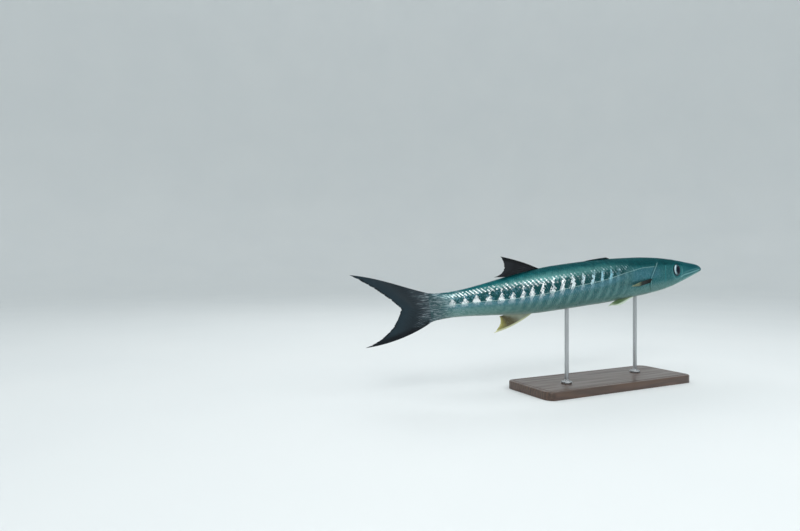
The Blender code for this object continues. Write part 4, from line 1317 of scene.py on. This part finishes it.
def makeRod(name, node, material):
    # a rod in a turned collar, drawn as half its profile and spun
    low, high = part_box(node)
    x, y = (low.x + high.x) / 2, (low.y + high.y) / 2
    collar, radius = (high.x - low.x) / 2, standLook["rodRadius"]
    top = high.z - low.z + 0.002  # just inside the fish
    profile = [(0, 0), *((collar + out, rise) for out, rise in standLook["collar"])]
    profile += [*((radius + out, rise) for out, rise in standLook["neck"]), (radius, top), (0, top)]
    bm = bmesh.new()
    verts = [bm.verts.new((x + out, y, low.z + rise)) for out, rise in profile]
    edges = [bm.edges.new(pair) for pair in zip(verts[:-1], verts[1:], strict=True)]
    bmesh.ops.spin(bm, geom=verts + edges, cent=(x, y, 0), axis=(0, 0, 1), angle=math.tau,
                   steps=standLook["rodTurns"], use_merge=True)
    bmesh.ops.remove_doubles(bm, verts=bm.verts[:], dist=0.00001)
    return finishPiece(objectFrom(bm, name), material, "rod_steel", node, sharp=35)


makeBase(woodMaterial())
rodPaint = steelMaterial()
makeRod("rod_front", "stand_rod_front", rodPaint)
makeRod("rod_rear", "stand_rod_rear", rodPaint)
print("stand")


# floor, light and camera
studio = {
    "floor": (222, 225, 225), "floorShade": (216, 220, 221), "world": (226, 231, 233), "worldStrength": 1.3,
    # the floor's radius and height as it curves up into a wall
    "cove": ((5.0, 0.0), (5.6, 0.08), (6.2, 0.3), (6.7, 0.7), (7.0, 1.3), (7.15, 2.1), (7.2, 3.4),
             (7.2, 7.0)),
    # each lamp's place, size and watts, and what they all point at
    "lamps": (
        ((-1.3, -1.7, 1.7), 0.9, 17),
        ((0.9, -1.5, 1.5), 0.8, 8),
        ((0.0, 1.5, 2.0), 1.4, 9),
        ((-0.2, -0.3, 2.4), 1.2, 7),
    ),
    "aim": (0, 0, 0.22),
}
cameraLook = {"lens": 25, "at": (-0.9964, -0.9646, 0.280), "turn": -26}


def makeFloor():
    bm = bmesh.new()
    bmesh.ops.create_circle(bm, cap_ends=True, segments=128, radius=studio["cove"][0][0])
    rim = bm.edges[:]
    for (near, _), (far, high) in zip(studio["cove"][:-1], studio["cove"][1:], strict=True):
        drawn = bmesh.ops.extrude_edge_only(bm, edges=rim)["geom"]
        verts = pick(drawn, bmesh.types.BMVert)
        rim = pick(drawn, bmesh.types.BMEdge)
        bmesh.ops.scale(bm, vec=(far / near, far / near, 1), verts=verts)
        for vert in verts:
            vert.co.z = high
    floor = objectFrom(bm, "floor")
    floor.data.shade_smooth()
    material, tree, shader = newMaterial("floorPaint", Roughness=0.7)
    tint = mixed(noise(tree, 2, 2), paint(*studio["floor"]), paint(*studio["floorShade"]))
    tree.links.new(tint, shader.inputs["Base Color"])
    floor.data.materials.append(material)


def makeLights():
    for k, (place, size, watts) in enumerate(studio["lamps"]):
        light = bpy.data.lights.new("lamp" + str(k), "AREA")
        light.shape = "DISK"
        light.size = size
        light.energy = watts
        obj = newObject("lamp" + str(k), light)
        obj.location = place
        obj.rotation_euler = (Vector(studio["aim"]) - Vector(place)).to_track_quat("-Z", "Y").to_euler()
    world = bpy.data.worlds.new("studio")
    world.use_nodes = True
    background = world.node_tree.nodes["Background"]
    background.inputs["Color"].default_value = paint(*studio["world"])
    background.inputs["Strength"].default_value = studio["worldStrength"]
    bpy.context.scene.world = world


def makeCamera():
    camera = bpy.data.cameras.new("camera")
    camera.lens = cameraLook["lens"]
    obj = newObject("camera", camera)
    obj.location = cameraLook["at"]
    obj.rotation_euler = (math.radians(90), 0, math.radians(cameraLook["turn"]))
    bpy.context.scene.camera = obj


makeFloor()
makeLights()
makeCamera()

bpy.context.scene.view_settings.view_transform = "Standard"
print("ready")
